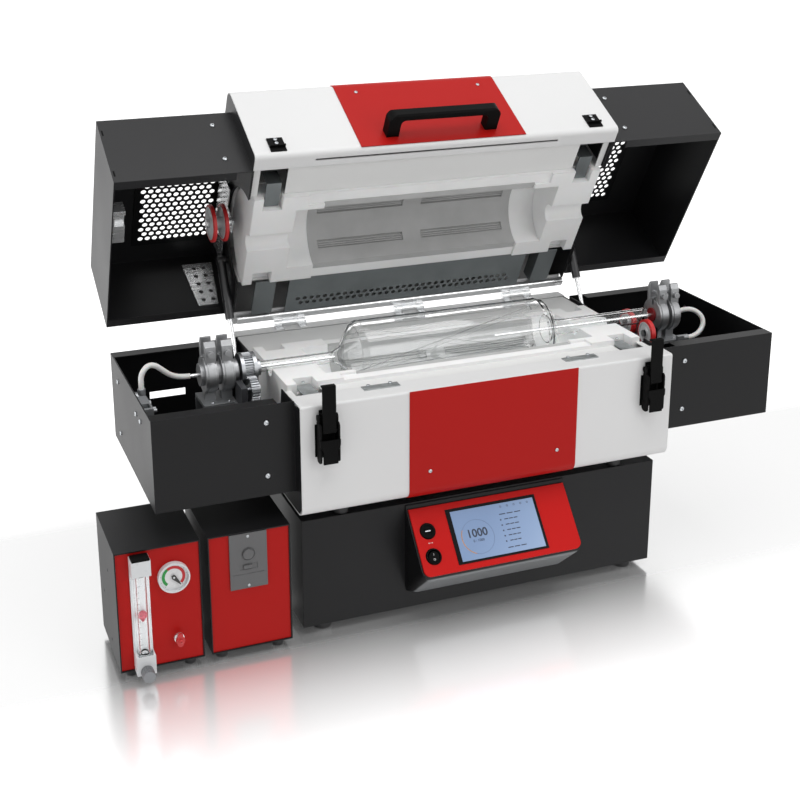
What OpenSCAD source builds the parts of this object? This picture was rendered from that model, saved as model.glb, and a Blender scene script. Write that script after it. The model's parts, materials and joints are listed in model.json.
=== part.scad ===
// Bench tube furnace with a rotating quartz vessel, drawn with its lid standing open.
// X runs along the tube, Y towards the back, Z up, in millimetres. Inside the modules the
// origin is under the middle of the furnace body; placed() moves it under the middle of
// the whole object. Everything on the lid is drawn closed and then swung open.

/* [Stand] */
// Length of the base cabinet along the tube
base_l = 655; // [600:5:760]
// Distance from the body's middle to the front of the base cabinet
base_front = 175; // [160:1:190]
// Distance from the body's middle to the back of the base cabinet
base_back = 195; // [170:1:200]
// Height of the base cabinet without its feet
base_h = 193; // [170:1:240]
// Height of the rubber feet
foot_h = 15; // [10:1:25]
// Height of the spacers between base cabinet and body
spacer_h = 20; // [12:1:30]

/* [Body and lid] */
// Length of the body and the lid along the tube
body_l = 670; // [600:5:800]
// Depth of the body and the lid
body_d = 410; // [380:5:480]
// Height of the lower body
lower_h = 189; // [175:1:230]
// Height of the lid
lid_h = 183; // [175:1:230]
// Gap between the lower body and the closed lid
lid_gap = 6; // [4:0.5:10]
// Thickness of the folded sheets
sheet = 2; // [1.5:0.5:3]
// Bend radius along the bottom front of the body
lower_bend = 18; // [6:1:30]
// Bend radius along the top front and back of the lid
lid_bend = 20; // [6:1:30]
// Width of the red bands
band_w = 304; // [200:2:400]
// Thickness of the red bands
band_t = 1.5; // [1:0.5:3]
// Angle by which the lid stands open
lid_open = 60.5; // [55:0.5:65]

/* [End boxes and hoods] */
// Length of each end box and hood
box_l = 227; // [215:1:280]
// Setback of the end boxes from the body's front
box_setback = 30; // [20:1:45]
// Setback of the end boxes from the body's back
box_back_setback = 47; // [35:1:60]
// Height of the end boxes
box_h = 153; // [135:1:180]
// Height of the hoods
hood_h = 154; // [140:1:175]
// Width of the flanges along the tops of the boxes
box_flange = 25; // [12:1:32]
// Diameter of the holes in the hood grilles
grille_hole = 9.4; // [6:0.2:10]
// Pitch of the holes in the hood grilles
grille_pitch = 13; // [12:0.5:16]

/* [Tube and insulation] */
// Distance of the tube axis in front of the body's middle
axis_setback = 12; // [0:1:20]
// Radius of the heated chamber
chamber_r = 68; // [64:1:74]
// Half length of the heated section
heater_half = 200; // [170:5:220]
// Half length of the chamber with its unheated ends
chamber_half = 250; // [240:5:270]
// Outer radius of the insulation
insulation_r = 98.5; // [90:0.5:99]
// Radius of the bores that the vessel's necks pass through
neck_bore_r = 18; // [17:0.5:24]

/* [Vessel and drive] */
// Radius of the vessel's wide part
vessel_r = 58; // [45:1:60]
// Wall thickness of the vessel
vessel_wall = 2.5; // [2:0.5:4]
// Radius of the vessel's left neck
left_neck_r = 10; // [9:0.5:11]
// Radius of the vessel's right neck
right_neck_r = 14.5; // [12:0.5:16]
// Gear module
gear_module = 1.5; // [1:0.25:1.75]
// Teeth of the vessel's gear
vessel_teeth = 34; // [30:1:36]
// Teeth of the drive pinion
pinion_teeth = 26; // [18:1:28]
// Radius of the support rollers
roller_r = 25; // [20:0.5:28]
// Distance of each support roller's axle from the tube axis, front to back
roller_spread = 33.5; // [30:0.5:36]
// Radius of the hold-down rollers in the left hood
idler_r = 33; // [26:0.5:36]
// Outer radius of the gland tubes
gland_r = 19; // [17:0.5:21]
// Outer radius of the clamp rings
ring_r = 30; // [26:0.5:34]

/* [Console and modules] */
// Width of the console fascia
fascia_w = 288; // [270:2:340]
// Length of the console fascia down its slope
fascia_l = 115; // [112:1:125]
// Lean of the console fascia from the vertical
fascia_lean = 41; // [30:1:50]
// Width of each module
module_w = 134; // [120:1:136]
// Depth of each module
module_d = 154; // [120:1:200]
// Height of each module without its feet
module_h = 205; // [200:1:230]
// Gap between the modules
module_gap = 12; // [4:1:20]

/* [Handle, latches and struts] */
// Distance between the handle's feet
handle_span = 180; // [140:2:240]
// Distance of the handle's grip from the lid
handle_reach = 45; // [36:1:60]
// Distance of each latch from the middle
latch_x = 293; // [240:1:310]
// Radius of the strut rods
strut_rod_r = 4; // [3:0.5:5]
// Radius of the strut barrels
strut_barrel_r = 8; // [7:0.5:9]

/* [Hidden] */
$fn = 48;

// heights of the stack
base_z = foot_h;
base_top = base_z + base_h;
lower_z = base_top + spacer_h;
lower_top = lower_z + lower_h;
lid_z = lower_top + lid_gap;
lid_top = lid_z + lid_h;
// outline in plan
half_l = body_l / 2;
half_d = body_d / 2;
box_front = -half_d + box_setback;
box_back = half_d - box_back_setback;
box_end = half_l + box_l;
box_z = lower_top - box_h;
hood_top = lid_z + hood_h;
// tube axis, in the middle of the lid gap
axis_y = -axis_setback;
axis_z = lower_top + lid_gap / 2;
// lid hinge
hinge_y = half_d - 7;
hinge_z = axis_z;
hinge_pin_r = 3;
hinge_fit = 0.05;
knuckle_r = 6;
knuckle_l = 60;
hinge_deck = hinge_z - 8;
hinge_x = [-224.5, 11.5, 238.5];
// depth of the folds along the front edges
front_flange = 50;
lid_flange = 30;
end_plate = 2;
notch_l = 27;
cutout_r = insulation_r + 1.5;

// ---------- shared shapes ----------
module block(x, y, z)
    translate([x[0], y[0], z[0]]) cube([x[1] - x[0], y[1] - y[0], z[1] - z[0]]);
module rod_x(x, y, z, r)
    translate([x[0], y, z]) rotate([0, 90, 0]) cylinder(r = r, h = x[1] - x[0]);
module rod_y(x, y, z, r)
    translate([x, y[0], z]) rotate([-90, 0, 0]) cylinder(r = r, h = y[1] - y[0]);
module ring_x(x, y, z, r, bore)
    difference() {
        rod_x(x, y, z, r);
        rod_x([x[0] - 1, x[1] + 1], y, z, bore);
    }
// a flat outline given in Y and Z, extruded along X
module along_x(x)
    translate([x[0], 0, 0]) rotate([90, 0, 90]) linear_extrude(x[1] - x[0]) children();
// a flat outline given in X and Z, extruded along Y
module along_y(y)
    translate([0, y[1], 0]) rotate([90, 0, 0]) linear_extrude(y[1] - y[0]) children();
module both_ends() {
    children();
    mirror([1, 0, 0]) children();
}
module corner_cut(r, turn)
    rotate(turn) difference() {
        translate([-1, -1]) square(r + 1);
        translate([r, r]) circle(r);
    }
// rectangle with its own radius at the front bottom, front top, back top and back bottom
module bent(y, z, r)
    difference() {
        translate([y[0], z[0]]) square([y[1] - y[0], z[1] - z[0]]);
        if (r[0] > 0) translate([y[0], z[0]]) corner_cut(r[0], 0);
        if (r[1] > 0) translate([y[0], z[1]]) corner_cut(r[1], -90);
        if (r[2] > 0) translate([y[1], z[1]]) corner_cut(r[2], 180);
        if (r[3] > 0) translate([y[1], z[0]]) corner_cut(r[3], 90);
    }
module skin(y, z, t, r)
    difference() {
        bent(y, z, r);
        bent([y[0] + t, y[1] - t], [z[0] + t, z[1] - t], [for (q = r) max(q - t, 0)]);
    }
module slab2(y, z)
    translate([y[0], z[0]]) square([y[1] - y[0], z[1] - z[0]]);
module swung_open()
    translate([0, hinge_y, hinge_z]) rotate([-lid_open, 0, 0])
        translate([0, -hinge_y, -hinge_z]) children();
function opened(p) = [
    hinge_y + (p[0] - hinge_y) * cos(lid_open) + (p[1] - hinge_z) * sin(lid_open),
    hinge_z - (p[0] - hinge_y) * sin(lid_open) + (p[1] - hinge_z) * cos(lid_open)];

// ---------- modules at the left ----------
module_right = -half_l - 19;
module_x = [module_right - 2 * module_w - module_gap, module_right - module_w];
module_y = -half_d + 7;
module_base = foot_h;
module_top = module_base + module_h;

// ---------- console ----------
fascia_top_y = -base_front - 6;
fascia_top_z = base_top - 9.3;
fascia_t = 3;
fascia_low_y = fascia_top_y - fascia_l * sin(fascia_lean);
fascia_low_z = fascia_top_z - fascia_l * cos(fascia_lean);
// on the fascia: X along it, Y up the slope from its top edge, Z out of it
module on_fascia()
    translate([0, fascia_top_y, fascia_top_z]) rotate([90 - fascia_lean, 0, 0]) children();

// ---------- middle of the whole object ----------
lid_back = opened([half_d, lid_top - lid_bend * 0.4]);
centre_x = (module_x[0] + box_end) / 2;
centre_y = (fascia_low_y - 2 + lid_back[0]) / 2;
module placed() translate([-centre_x, -centre_y, 0]) children();

// ---------- base cabinet ----------
module base_case() color("#26272a") {
    difference() {
        block([-base_l / 2, base_l / 2], [-base_front, base_back], [base_z, base_top]);
        block([-base_l / 2 + sheet, base_l / 2 - sheet], [-base_front + sheet, base_back - sheet],
            [base_z - 1, base_top - sheet]);
        // louvres in the back
        for (x = [-220:22:-66], z = [0.35, 0.6])
            block([x, x + 14], [base_back - sheet - 1, base_back + 1],
                [base_z + base_h * z, base_z + base_h * z + 5]);
        // opening for the mains inlet
        block([inlet_x - inlet_w / 2, inlet_x + inlet_w / 2], [base_back - sheet - 1, base_back + 1],
            [inlet_z, inlet_z + inlet_h]);
    }
    // floor plate
    block([-base_l / 2 + sheet, base_l / 2 - sheet], [-base_front + sheet, base_back - sheet],
        [base_z, base_z + sheet]);
}

inlet_x = 230;
inlet_w = 48;
inlet_h = 30;
inlet_z = base_z + 40;
module mains_inlet() color("#101010") {
    difference() {
        union() {
            block([inlet_x - inlet_w / 2 + 0.2, inlet_x + inlet_w / 2 - 0.2],
                [base_back - 24, base_back], [inlet_z + 0.2, inlet_z + inlet_h - 0.2]);
            block([inlet_x - inlet_w / 2 - 6, inlet_x + inlet_w / 2 + 6],
                [base_back, base_back + 3], [inlet_z - 3, inlet_z + inlet_h + 3]);
        }
        block([inlet_x - inlet_w / 2 + 5, inlet_x + inlet_w / 2 - 5],
            [base_back - 18, base_back + 4], [inlet_z + 5, inlet_z + inlet_h - 5]);
    }
    for (x = [-12, 0, 12])
        block([inlet_x + x - 1, inlet_x + x + 1], [base_back - 18, base_back - 4],
            [inlet_z + 12, inlet_z + 18]);
}

foot_r = 17;
module foot_at(x, y, z, h, r)
    translate([x, y, z]) {
        cylinder(r1 = r - 2, r2 = r, h = h - 3);
        translate([0, 0, h - 3]) cylinder(r = r, h = 3);
    }
module feet() color("#1b1b1b") {
    for (x = [-base_l / 2 + 40, base_l / 2 - 40], y = [-base_front + 25, base_back - 25])
        foot_at(x, y, 0, foot_h, foot_r);
    for (x = module_x, dx = [20, module_w - 20], dy = [20, module_d - 20])
        foot_at(x + dx, module_y + dy, 0, foot_h, 11);
    for (x = [-255, 255], y = [-base_front + 15, base_back - 25])
        foot_at(x, y, base_top, spacer_h, 14);
}

// ---------- console ----------
console_side = 3;
console_foot_z = base_z + 32;
console_round = 15;
console_lip = 5;
// a point of the console's side view, measured inwards from the fascia's lower edge and past it
function console_point(inward, past) = [
    fascia_low_y + inward * cos(fascia_lean) - past * sin(fascia_lean),
    fascia_low_z - inward * sin(fascia_lean) - past * cos(fascia_lean)];
module console_outline(back) {
    polygon([[back, fascia_top_z + 6], [fascia_top_y + 4, fascia_top_z + 6],
        [fascia_top_y + fascia_t * cos(fascia_lean), fascia_top_z - fascia_t * sin(fascia_lean)],
        console_point(fascia_t, console_lip - console_round),
        console_point(fascia_t + console_round, console_lip),
        console_point(fascia_t + console_round + 8, console_lip),
        [back - 22, console_foot_z + 6], [back, console_foot_z]]);
    translate(console_point(fascia_t + console_round, console_lip - console_round))
        circle(console_round);
}
display_x = [-82, 84];
display_v = [-105, -11];
socket_at = [-120.4, -40.4];
rocker_at = [-121.3, -83.4];
rocker_r = 9.6;
rocker_tilt = 8;
module control_housing() color("#202124")
    difference() {
        intersection() {
            along_x([-fascia_w / 2 - console_side, fascia_w / 2 + console_side])
                console_outline(-base_front);
            // both lower corners are rounded, square to the fascia
            on_fascia() translate([0, 60, -160]) linear_extrude(170)
                fascia_plate(fascia_w + 2 * console_side, fascia_l + 60 + console_lip,
                    fascia_corner + console_side + 3);
        }
        on_fascia() {
            // pockets behind the display, the socket and the rocker
            translate([display_x[0] + 6, display_v[0] + 6, -fascia_t - 14])
                cube([display_x[1] - display_x[0] - 12, display_v[1] - display_v[0] - 12, 20]);
            for (p = [socket_at, rocker_at])
                translate([p[0], p[1], -fascia_t - 22]) cylinder(r = 12.5, h = 30);
        }
    }

fascia_corner = 12;
module fascia_plate(w, l, r)
    difference() {
        translate([-w / 2, -l]) square([w, l]);
        translate([-w / 2, -l]) corner_cut(r, 0);
        translate([w / 2, -l]) corner_cut(r, 90);
    }
module control_fascia() color("#d02524") on_fascia()
    difference() {
        translate([0, 0, -fascia_t]) linear_extrude(fascia_t)
            difference() {
                fascia_plate(fascia_w, fascia_l, fascia_corner);
                translate([display_x[0], display_v[0]])
                    square([display_x[1] - display_x[0], display_v[1] - display_v[0]]);
                for (p = [socket_at, rocker_at]) translate(p) circle(12.5);
            }
    }

module display() on_fascia() {
    color("#0c0c0e") difference() {
        translate([display_x[0], display_v[0], -fascia_t])
            cube([display_x[1] - display_x[0], display_v[1] - display_v[0], fascia_t + 1]);
        translate([display_x[0] + 7.5, display_v[0] + 3.5, -fascia_t + 2])
            cube([154.1, 85.9, fascia_t]);
    }
    color("#8fa9d6") translate([display_x[0] + 7.5, display_v[0] + 3.5, -fascia_t + 2])
        cube([154.1, 85.9, fascia_t - 1.6]);
}

socket_r = 14;
rocker_bezel_r = 14;
module power_fittings() {
    mains_inlet();
    on_fascia() console_fittings();
}
module console_fittings() {
    color("#151515") translate([socket_at[0], socket_at[1], 0]) difference() {
        union() {
            cylinder(r1 = socket_r, r2 = socket_r - 1.5, h = 3);
            translate([0, 0, -fascia_t - 20]) cylinder(r = 12.3, h = fascia_t + 20);
        }
        translate([0, 0, 1.5]) cylinder(r = 9, h = 3);
        translate([-5.5, -3, -8]) cube([11, 6, 12]);
    }
    color("#151515") translate([rocker_at[0], rocker_at[1], 0]) difference() {
        union() {
            cylinder(r1 = rocker_bezel_r, r2 = rocker_bezel_r - 1.5, h = 3);
            translate([0, 0, -fascia_t - 20]) cylinder(r = 12.3, h = fascia_t + 20);
        }
        translate([0, 0, -fascia_t - 12]) cylinder(r = rocker_r + 1.2, h = 30);
        translate([0, 0, -6]) rotate([0, 90, 0])
            cylinder(r = 1.55, h = 2 * rocker_bezel_r, center = true);
    }
}

module power_rocker() color("#1d1d1d") on_fascia()
    translate([rocker_at[0], rocker_at[1], -6]) rotate([rocker_tilt, 0, 0]) {
        intersection() {
            translate([0, 0, -4]) cylinder(r = rocker_r - 0.3, h = 20);
            union() {
                rotate([5, 0, 0]) translate([-15, -0.7, -6]) cube([30, 15, 13.6]);
                rotate([-5, 0, 0]) translate([-15, -14.3, -6]) cube([30, 15, 13.6]);
            }
        }
        rotate([0, 90, 0]) cylinder(r = 1.5, h = 2 * rocker_r + 3, center = true);
    }

// ---------- lower body ----------
module lower_shell() color("#d6d6d6") along_x([-half_l, half_l]) {
    difference() {
        skin([-half_d, half_d], [lower_z, lower_top], sheet, [lower_bend, 4, 0, lower_bend]);
        slab2([-half_d + front_flange, half_d + 1], [hinge_deck, lower_top + 1]);
    }
    // deck that carries the hinges
    slab2([hinge_y - 18, half_d - sheet], [hinge_deck - sheet, hinge_deck]);
}

module lower_red_band() color("#a6201e") along_x([-band_w / 2, band_w / 2])
    difference() {
        bent([-half_d - band_t, half_d], [lower_z - band_t, lower_top],
            [lower_bend + band_t, 0, 0, 0]);
        bent([-half_d, half_d + 1], [lower_z, lower_top + 1], [lower_bend, 0, 0, 0]);
        slab2([-half_d + 45, half_d + 1], [lower_z - 3, lower_top + 1]);
    }

// pivots of the struts: the lower one is fixed, the upper one is on the lid (Y and Z, lid closed)
strut_x = half_l + 13;
strut_low = [half_d - 93, axis_z - 50];
strut_high = [half_d - 115, axis_z + 70];
stud_r = 3;

module box_shell(z0, z1) {
    front = box_front;
    back = box_back;
    difference() {
        block([half_l, box_end], [front, back], [z0, z1]);
        block([half_l + end_plate, box_end - sheet], [front + sheet, back - sheet],
            [z0 + sheet, z1 + 1]);
    }
}
module lower_box() {
    difference() {
        box_shell(box_z, lower_top);
        rod_x([half_l - 1, half_l + end_plate + 1], axis_y, axis_z, cutout_r);
        // the inner wall ends below the flanges
        block([half_l - 1, half_l + end_plate + 1], [box_front + sheet, box_back - sheet],
            [lower_top - sheet, lower_top + 1]);
    }
    // flanges along the front and the back, short of the body
    for (y = [[box_front, box_front + box_flange], [box_back - box_flange, box_back]])
        block([half_l + notch_l, box_end], y, [lower_top - sheet, lower_top]);
    // fixed stud of the gas strut
    rod_x([half_l + end_plate, strut_x - eye_w / 2 - 0.3], strut_low[0], strut_low[1], stud_r + 2);
    rod_x([half_l + end_plate, strut_x + eye_w / 2 + 2], strut_low[0], strut_low[1], stud_r);
    rod_x([strut_x + eye_w / 2 + 0.3, strut_x + eye_w / 2 + 3], strut_low[0], strut_low[1], stud_r + 2);
    // plate that closes the body's end
    difference() {
        block([half_l - end_plate, half_l], [-half_d + sheet, half_d - sheet],
            [lower_z + sheet, hinge_deck - sheet]);
        rod_x([half_l - end_plate - 1, half_l + 1], axis_y, axis_z, cutout_r);
        for (y = [-half_d + sheet, half_d - sheet])
            translate([half_l, y, lower_z + sheet]) rotate([45, 0, 0])
                cube([8, 24, 24], center = true);
    }
}
module lower_boxes() color("#2a2a2c") difference() {
    both_ends() lower_box();
    // slot in the back wall of the left box
    block([-half_l - 163, -half_l - 99], [box_back - sheet - 1, box_back + 1],
        [box_z + 59, box_z + 72]);
}

// ---------- lining of the lower body ----------
deck_drop = 7;
lower_deck = lower_top - deck_drop;
slab_half = insulation_r + 1.5;
liner_x = half_l - end_plate - 2;
corner_x = [272, 320];
module lower_liner() color("#e2e2e2") difference() {
    along_x([-liner_x, liner_x]) {
        // front deck with the lip that meets the shell's flange
        slab2([-half_d + front_flange - 6, axis_y - slab_half], [lower_deck - sheet, lower_deck]);
        slab2([-half_d + front_flange - 6, -half_d + front_flange - 4],
            [lower_deck - sheet, lower_top - sheet]);
        // tray round the insulation
        difference() {
            slab2([axis_y - slab_half - sheet, axis_y + slab_half + sheet],
                [axis_z - insulation_r - sheet, lower_deck]);
            slab2([axis_y - slab_half, axis_y + slab_half],
                [axis_z - insulation_r, lower_deck + 1]);
        }
        // back deck
        slab2([axis_y + slab_half, hinge_y - 20], [lower_deck - sheet, lower_deck]);
    }
    // openings over the tie brackets
    for (s = [-1, 1]) {
        block([min(s * corner_x[0], s * corner_x[1]), max(s * corner_x[0], s * corner_x[1])],
            [-half_d + front_flange + 4, axis_y - slab_half + 1],
            [lower_deck - 30, lower_deck + 1]);
    }
}

block_rise = 4;
mate_gap = 0.5;
slab_t = 44;
notch_x = [276, 310];
// one half of the insulation, drawn below the tube axis
module insulation_half() {
    top = axis_z - mate_gap;
    difference() {
        union() {
            difference() {
                rod_x([-half_l + 8, half_l - 8], axis_y, axis_z, insulation_r);
                block([-half_l, half_l], [-half_d, half_d], [top, lid_top]);
            }
            block([-half_l + 8, half_l - 8], [axis_y - slab_half, axis_y + slab_half],
                [top - slab_t, top]);
        }
        block([-heater_half, heater_half], [axis_y - slab_half - 1, axis_y + slab_half + 1],
            [top - block_rise, top + 1]);
        rod_x([-chamber_half, chamber_half], axis_y, axis_z, chamber_r);
        rod_x([-heater_half, heater_half], axis_y, axis_z, chamber_r + heater_t);
        rod_x([-half_l, half_l], axis_y, axis_z, neck_bore_r);
        // rebates where the tie brackets reach in
        for (s = [-1, 1], y = [[axis_y - slab_half - 1, axis_y - slab_half + 26],
                [axis_y + slab_half - 26, axis_y + slab_half + 1]])
            block([min(s * notch_x[0], s * notch_x[1]), max(s * notch_x[0], s * notch_x[1])],
                y, [top - 16, top + 1]);
        // stepped front corners of the end blocks
        for (s = [-1, 1])
            block([min(s * (heater_half - 1), s * (heater_half + 30)),
                max(s * (heater_half - 1), s * (heater_half + 30))],
                [axis_y - slab_half - 1, axis_y - slab_half + 22], [top - block_rise, top + 1]);
    }
}
heater_t = 12;
groove_w = 15;
groove_t = 4;
groove_l = 164;
// one half of the heater, drawn below the tube axis: a moulded shell with grooves for the wires
module heater_half_shell() {
    top = axis_z - mate_gap - block_rise;
    difference() {
        ring_x([-heater_half, heater_half], axis_y, axis_z, chamber_r + heater_t, chamber_r);
        block([-half_l, half_l], [-half_d, half_d], [top, lid_top]);
        for (a = [-35, -90, -145], s = [-1, 1])
            translate([s * heater_half / 2, axis_y, axis_z]) rotate([a, 0, 0])
                translate([-groove_l / 2, chamber_r - 3, -groove_w / 2])
                    cube([groove_l, groove_t + 3, groove_w]);
    }
    // heating wires lying in the grooves
    for (a = [-35, -90, -145], s = [-1, 1], w = [-4, 0, 4])
        translate([s * heater_half / 2, axis_y, axis_z]) rotate([a, 0, 0])
            translate([0, chamber_r + groove_t - 1, w]) rotate([0, 90, 0])
                cylinder(r = 1.5, h = groove_l + 4, center = true, $fn = 24);
}
module lower_insulation() color("#ececea") insulation_half();
module lower_heater() color("#8a8a88") heater_half_shell();

module tie_bracket() {
    y0 = axis_y - slab_half;
    // face towards the front, with its screw
    block([280, 318], [y0 - 26, y0 - 24], [lower_deck - 34, lower_deck - 2]);
    rod_y(299, [y0 - 28, y0 - 25.5], lower_deck - 18, 4);
    // arm over the insulation
    block([280, 306], [y0 - 25, y0 + 24], [lower_deck - 4, lower_deck - 2]);
    // rear arm
    block([280, 306], [axis_y + slab_half - 24, axis_y + slab_half], [lower_deck - 4, lower_deck - 2]);
}
module tie_brackets() color("#9aa2a8") {
    both_ends() tie_bracket();
    // clips on the front flange
    for (x = [-186, 177])
        block([x - 31, x + 31], [-half_d + 30, -half_d + front_flange - 2],
            [lower_top, lower_top + 1.5]);
}

// ---------- hinge ----------
module hinge_leaf(x) {
    difference() {
        union() {
            for (e = [[x - knuckle_l / 2, x - knuckle_l / 4], [x + knuckle_l / 4, x + knuckle_l / 2]])
                rod_x(e, hinge_y, hinge_z, knuckle_r);
            for (e = [[x - knuckle_l / 2, x - knuckle_l / 4], [x + knuckle_l / 4, x + knuckle_l / 2]])
                block(e, [hinge_y - 18, hinge_y], [hinge_deck, hinge_z - knuckle_r + 0.6]);
        }
    }
    rod_x([x - knuckle_l / 2, x + knuckle_l / 2], hinge_y, hinge_z, hinge_pin_r);
}
module hinge_leaves() color("#b9bcc0") for (x = hinge_x) hinge_leaf(x);

rail_d = 13;
rail_h = 13;
rail_z = hinge_z + 4;
module hinge_rail() color("#c9ccd0") swung_open() {
    along_x([-half_l + 11, half_l + 4])
        bent([hinge_y - 19, hinge_y - 19 + rail_d], [rail_z, rail_z + rail_h], [5, 2, 2, 0]);
    for (x = hinge_x)
        difference() {
            union() {
                rod_x([x - knuckle_l / 4 + 0.3, x + knuckle_l / 4 - 0.3], hinge_y, hinge_z, knuckle_r);
                block([x - knuckle_l / 4 + 0.3, x + knuckle_l / 4 - 0.3],
                    [hinge_y - 17, hinge_y], [hinge_z + knuckle_r - 3.2, rail_z]);
            }
            rod_x([x - knuckle_l, x + knuckle_l], hinge_y, hinge_z, hinge_pin_r + hinge_fit);
        }
}

// ---------- latches ----------
latch_face = -half_d;
lever_pin = [latch_face - 6.5, lower_top - 19];
hook_pin = [latch_face - 15, lower_top - 39];
latch_fit = 0.06;
module latch_base(x) {
    block([x - 12, x + 12], [latch_face - 2, latch_face], [lower_top - 88, lower_top - 8]);
    for (s = [-1, 1])
        translate([x + s * 9.5, 0, 0])
            block([-1.5, 1.5], [latch_face - 9.5, latch_face - 1.5],
                [lever_pin[1] - 8, lever_pin[1] + 7]);
    rod_x([x - 16.6, x + 16.6], lever_pin[0], lever_pin[1], 2);
}
module latch_bases() color("#141414") for (x = [-latch_x, latch_x]) latch_base(x);
module latch_lever(x) color("#101010") {
    for (s = [-1, 1])
        difference() {
            along_x([x + s * 15.1 - 1.4, x + s * 15.1 + 1.4]) {
                difference() {
                    union() {
                        translate(lever_pin) circle(5.8);
                        slab2([latch_face - 20, latch_face - 3], [lower_top - 92, lever_pin[1] - 7]);
                        translate([lever_pin[0] - 5.8, lever_pin[1] - 8]) square([8, 8]);
                    }
                    translate([latch_face - 20, lower_top - 92]) corner_cut(6, 0);
                    translate([latch_face - 3, lower_top - 92]) corner_cut(6, 90);
                    translate([latch_face - 20, lever_pin[1] - 7]) corner_cut(6, -90);
                }
            }
            rod_x([x - 20, x + 20], lever_pin[0], lever_pin[1], 2 + latch_fit);
        }
    // front plate, narrower towards the grip
    block([x - 16.4, x + 16.4], [latch_face - 22.5, latch_face - 19.9], [lower_top - 62, lower_top - 52]);
    along_y([latch_face - 22.5, latch_face - 19.9])
        polygon([[x - 16.4, lower_top - 61.9], [x + 16.4, lower_top - 61.9],
            [x + 12, lower_top - 70], [x + 12, lower_top - 92], [x - 12, lower_top - 92],
            [x - 12, lower_top - 70]]);
    rod_x([x - 14, x + 14], hook_pin[0], hook_pin[1], 2);
}
module latch_lever_left() latch_lever(-latch_x);
module latch_lever_right() latch_lever(latch_x);
hook_top = lower_top + 36;
module latch_hook(x) color("#101010") difference() {
    along_x([x - 11, x + 11]) {
        translate(hook_pin) circle(4);
        slab2([hook_pin[0] - 3, hook_pin[0]], [hook_pin[1], hook_top]);
        slab2([hook_pin[0] - 3, latch_face - 8.4], [hook_top - 3, hook_top]);
    }
    rod_x([x - 20, x + 20], hook_pin[0], hook_pin[1], 2 + latch_fit);
}
module latch_hook_left() latch_hook(-latch_x);
module latch_hook_right() latch_hook(latch_x);

// ---------- drive and glands at the left ----------
pitch_r = gear_module * vessel_teeth / 2;
pinion_pitch_r = gear_module * pinion_teeth / 2;
gear_distance = pitch_r + pinion_pitch_r;
pinion_angle = 210;
pinion_y = axis_y + gear_distance * cos(pinion_angle);
pinion_z = axis_z + gear_distance * sin(pinion_angle);
gear_x = [-half_l - 39, -half_l - 24];
rim_w = 6;
rim_r = pitch_r + gear_module + 0.5;
pressure = 20;
function inv(a) = tan(a) * 180 / PI - a;
// half the angle that a tooth takes at radius r, thinned a little so that the pair runs free
function tooth_half(r, teeth) =
    let (rp = gear_module * teeth / 2, rb = rp * cos(pressure))
    90 / teeth * 0.93 + inv(pressure) - inv(acos(min(1, rb / r)));
module gear_outline(teeth, first) {
    rp = gear_module * teeth / 2;
    rb = rp * cos(pressure);
    tip = rp + gear_module;
    root = rp - 1.25 * gear_module;
    low = max(rb, root);
    steps = [for (k = [0:3]) low + (tip - low) * k / 3];
    polygon([for (i = [0:teeth - 1])
        let (a = first + i * 360 / teeth)
        each concat(
            [[root * cos(a - tooth_half(low, teeth)), root * sin(a - tooth_half(low, teeth))]],
            [for (r = steps) [r * cos(a - tooth_half(r, teeth)), r * sin(a - tooth_half(r, teeth))]],
            [for (k = [3:-1:0]) let (r = steps[k])
                [r * cos(a + tooth_half(r, teeth)), r * sin(a + tooth_half(r, teeth))]],
            [[root * cos(a + tooth_half(low, teeth)), root * sin(a + tooth_half(low, teeth))]])]);
}
module vessel_gear() color("#a2a3a5") difference() {
    union() {
        translate([0, axis_y, axis_z]) along_x([gear_x[0], gear_x[1]])
            gear_outline(vessel_teeth, pinion_angle);
        rod_x([gear_x[0] - rim_w, gear_x[0]], axis_y, axis_z, rim_r);
        rod_x([gear_x[1], gear_x[1] + rim_w], axis_y, axis_z, rim_r);
        rod_x([gear_x[1], gear_x[1] + rim_w + 9], axis_y, axis_z, left_neck_r + 4);
    }
    rod_x([gear_x[0] - 30, gear_x[1] + 30], axis_y, axis_z, left_neck_r + 0.05);
}
pinion_x = [gear_x[0] + 0.8, gear_x[1] - 0.8];
shaft_r = 4;
shaft_fit = 0.05;
module drive_pinion() color("#97989a") {
    translate([0, pinion_y, pinion_z]) along_x(pinion_x)
        gear_outline(pinion_teeth, pinion_angle - 180 + 180 / pinion_teeth);
    rod_x([motor_face - 7, pinion_x[1] + 5], pinion_y, pinion_z, shaft_r);
    rod_x([pinion_x[1], pinion_x[1] + 4], pinion_y, pinion_z, 9);
}
motor_face = gear_x[0] - 8;
gearbox_t = 10;
bracket_x = motor_face - gearbox_t - 4;
motor_y = pinion_y - 4;
motor_z = axis_z - 76;
module drive_motor() color("#3a3b3d") {
    difference() {
        block([motor_face - gearbox_t, motor_face], [pinion_y - 24, pinion_y + 17],
            [motor_z - 15, pinion_z + 12]);
        rod_x([motor_face - 7.5, motor_face + 1], pinion_y, pinion_z, shaft_r + shaft_fit);
    }
    rod_x([motor_face - gearbox_t - 58, motor_face - gearbox_t], motor_y, motor_z, 17);
    rod_x([motor_face - gearbox_t - 62, motor_face - gearbox_t - 57], motor_y, motor_z, 12);
}

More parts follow.
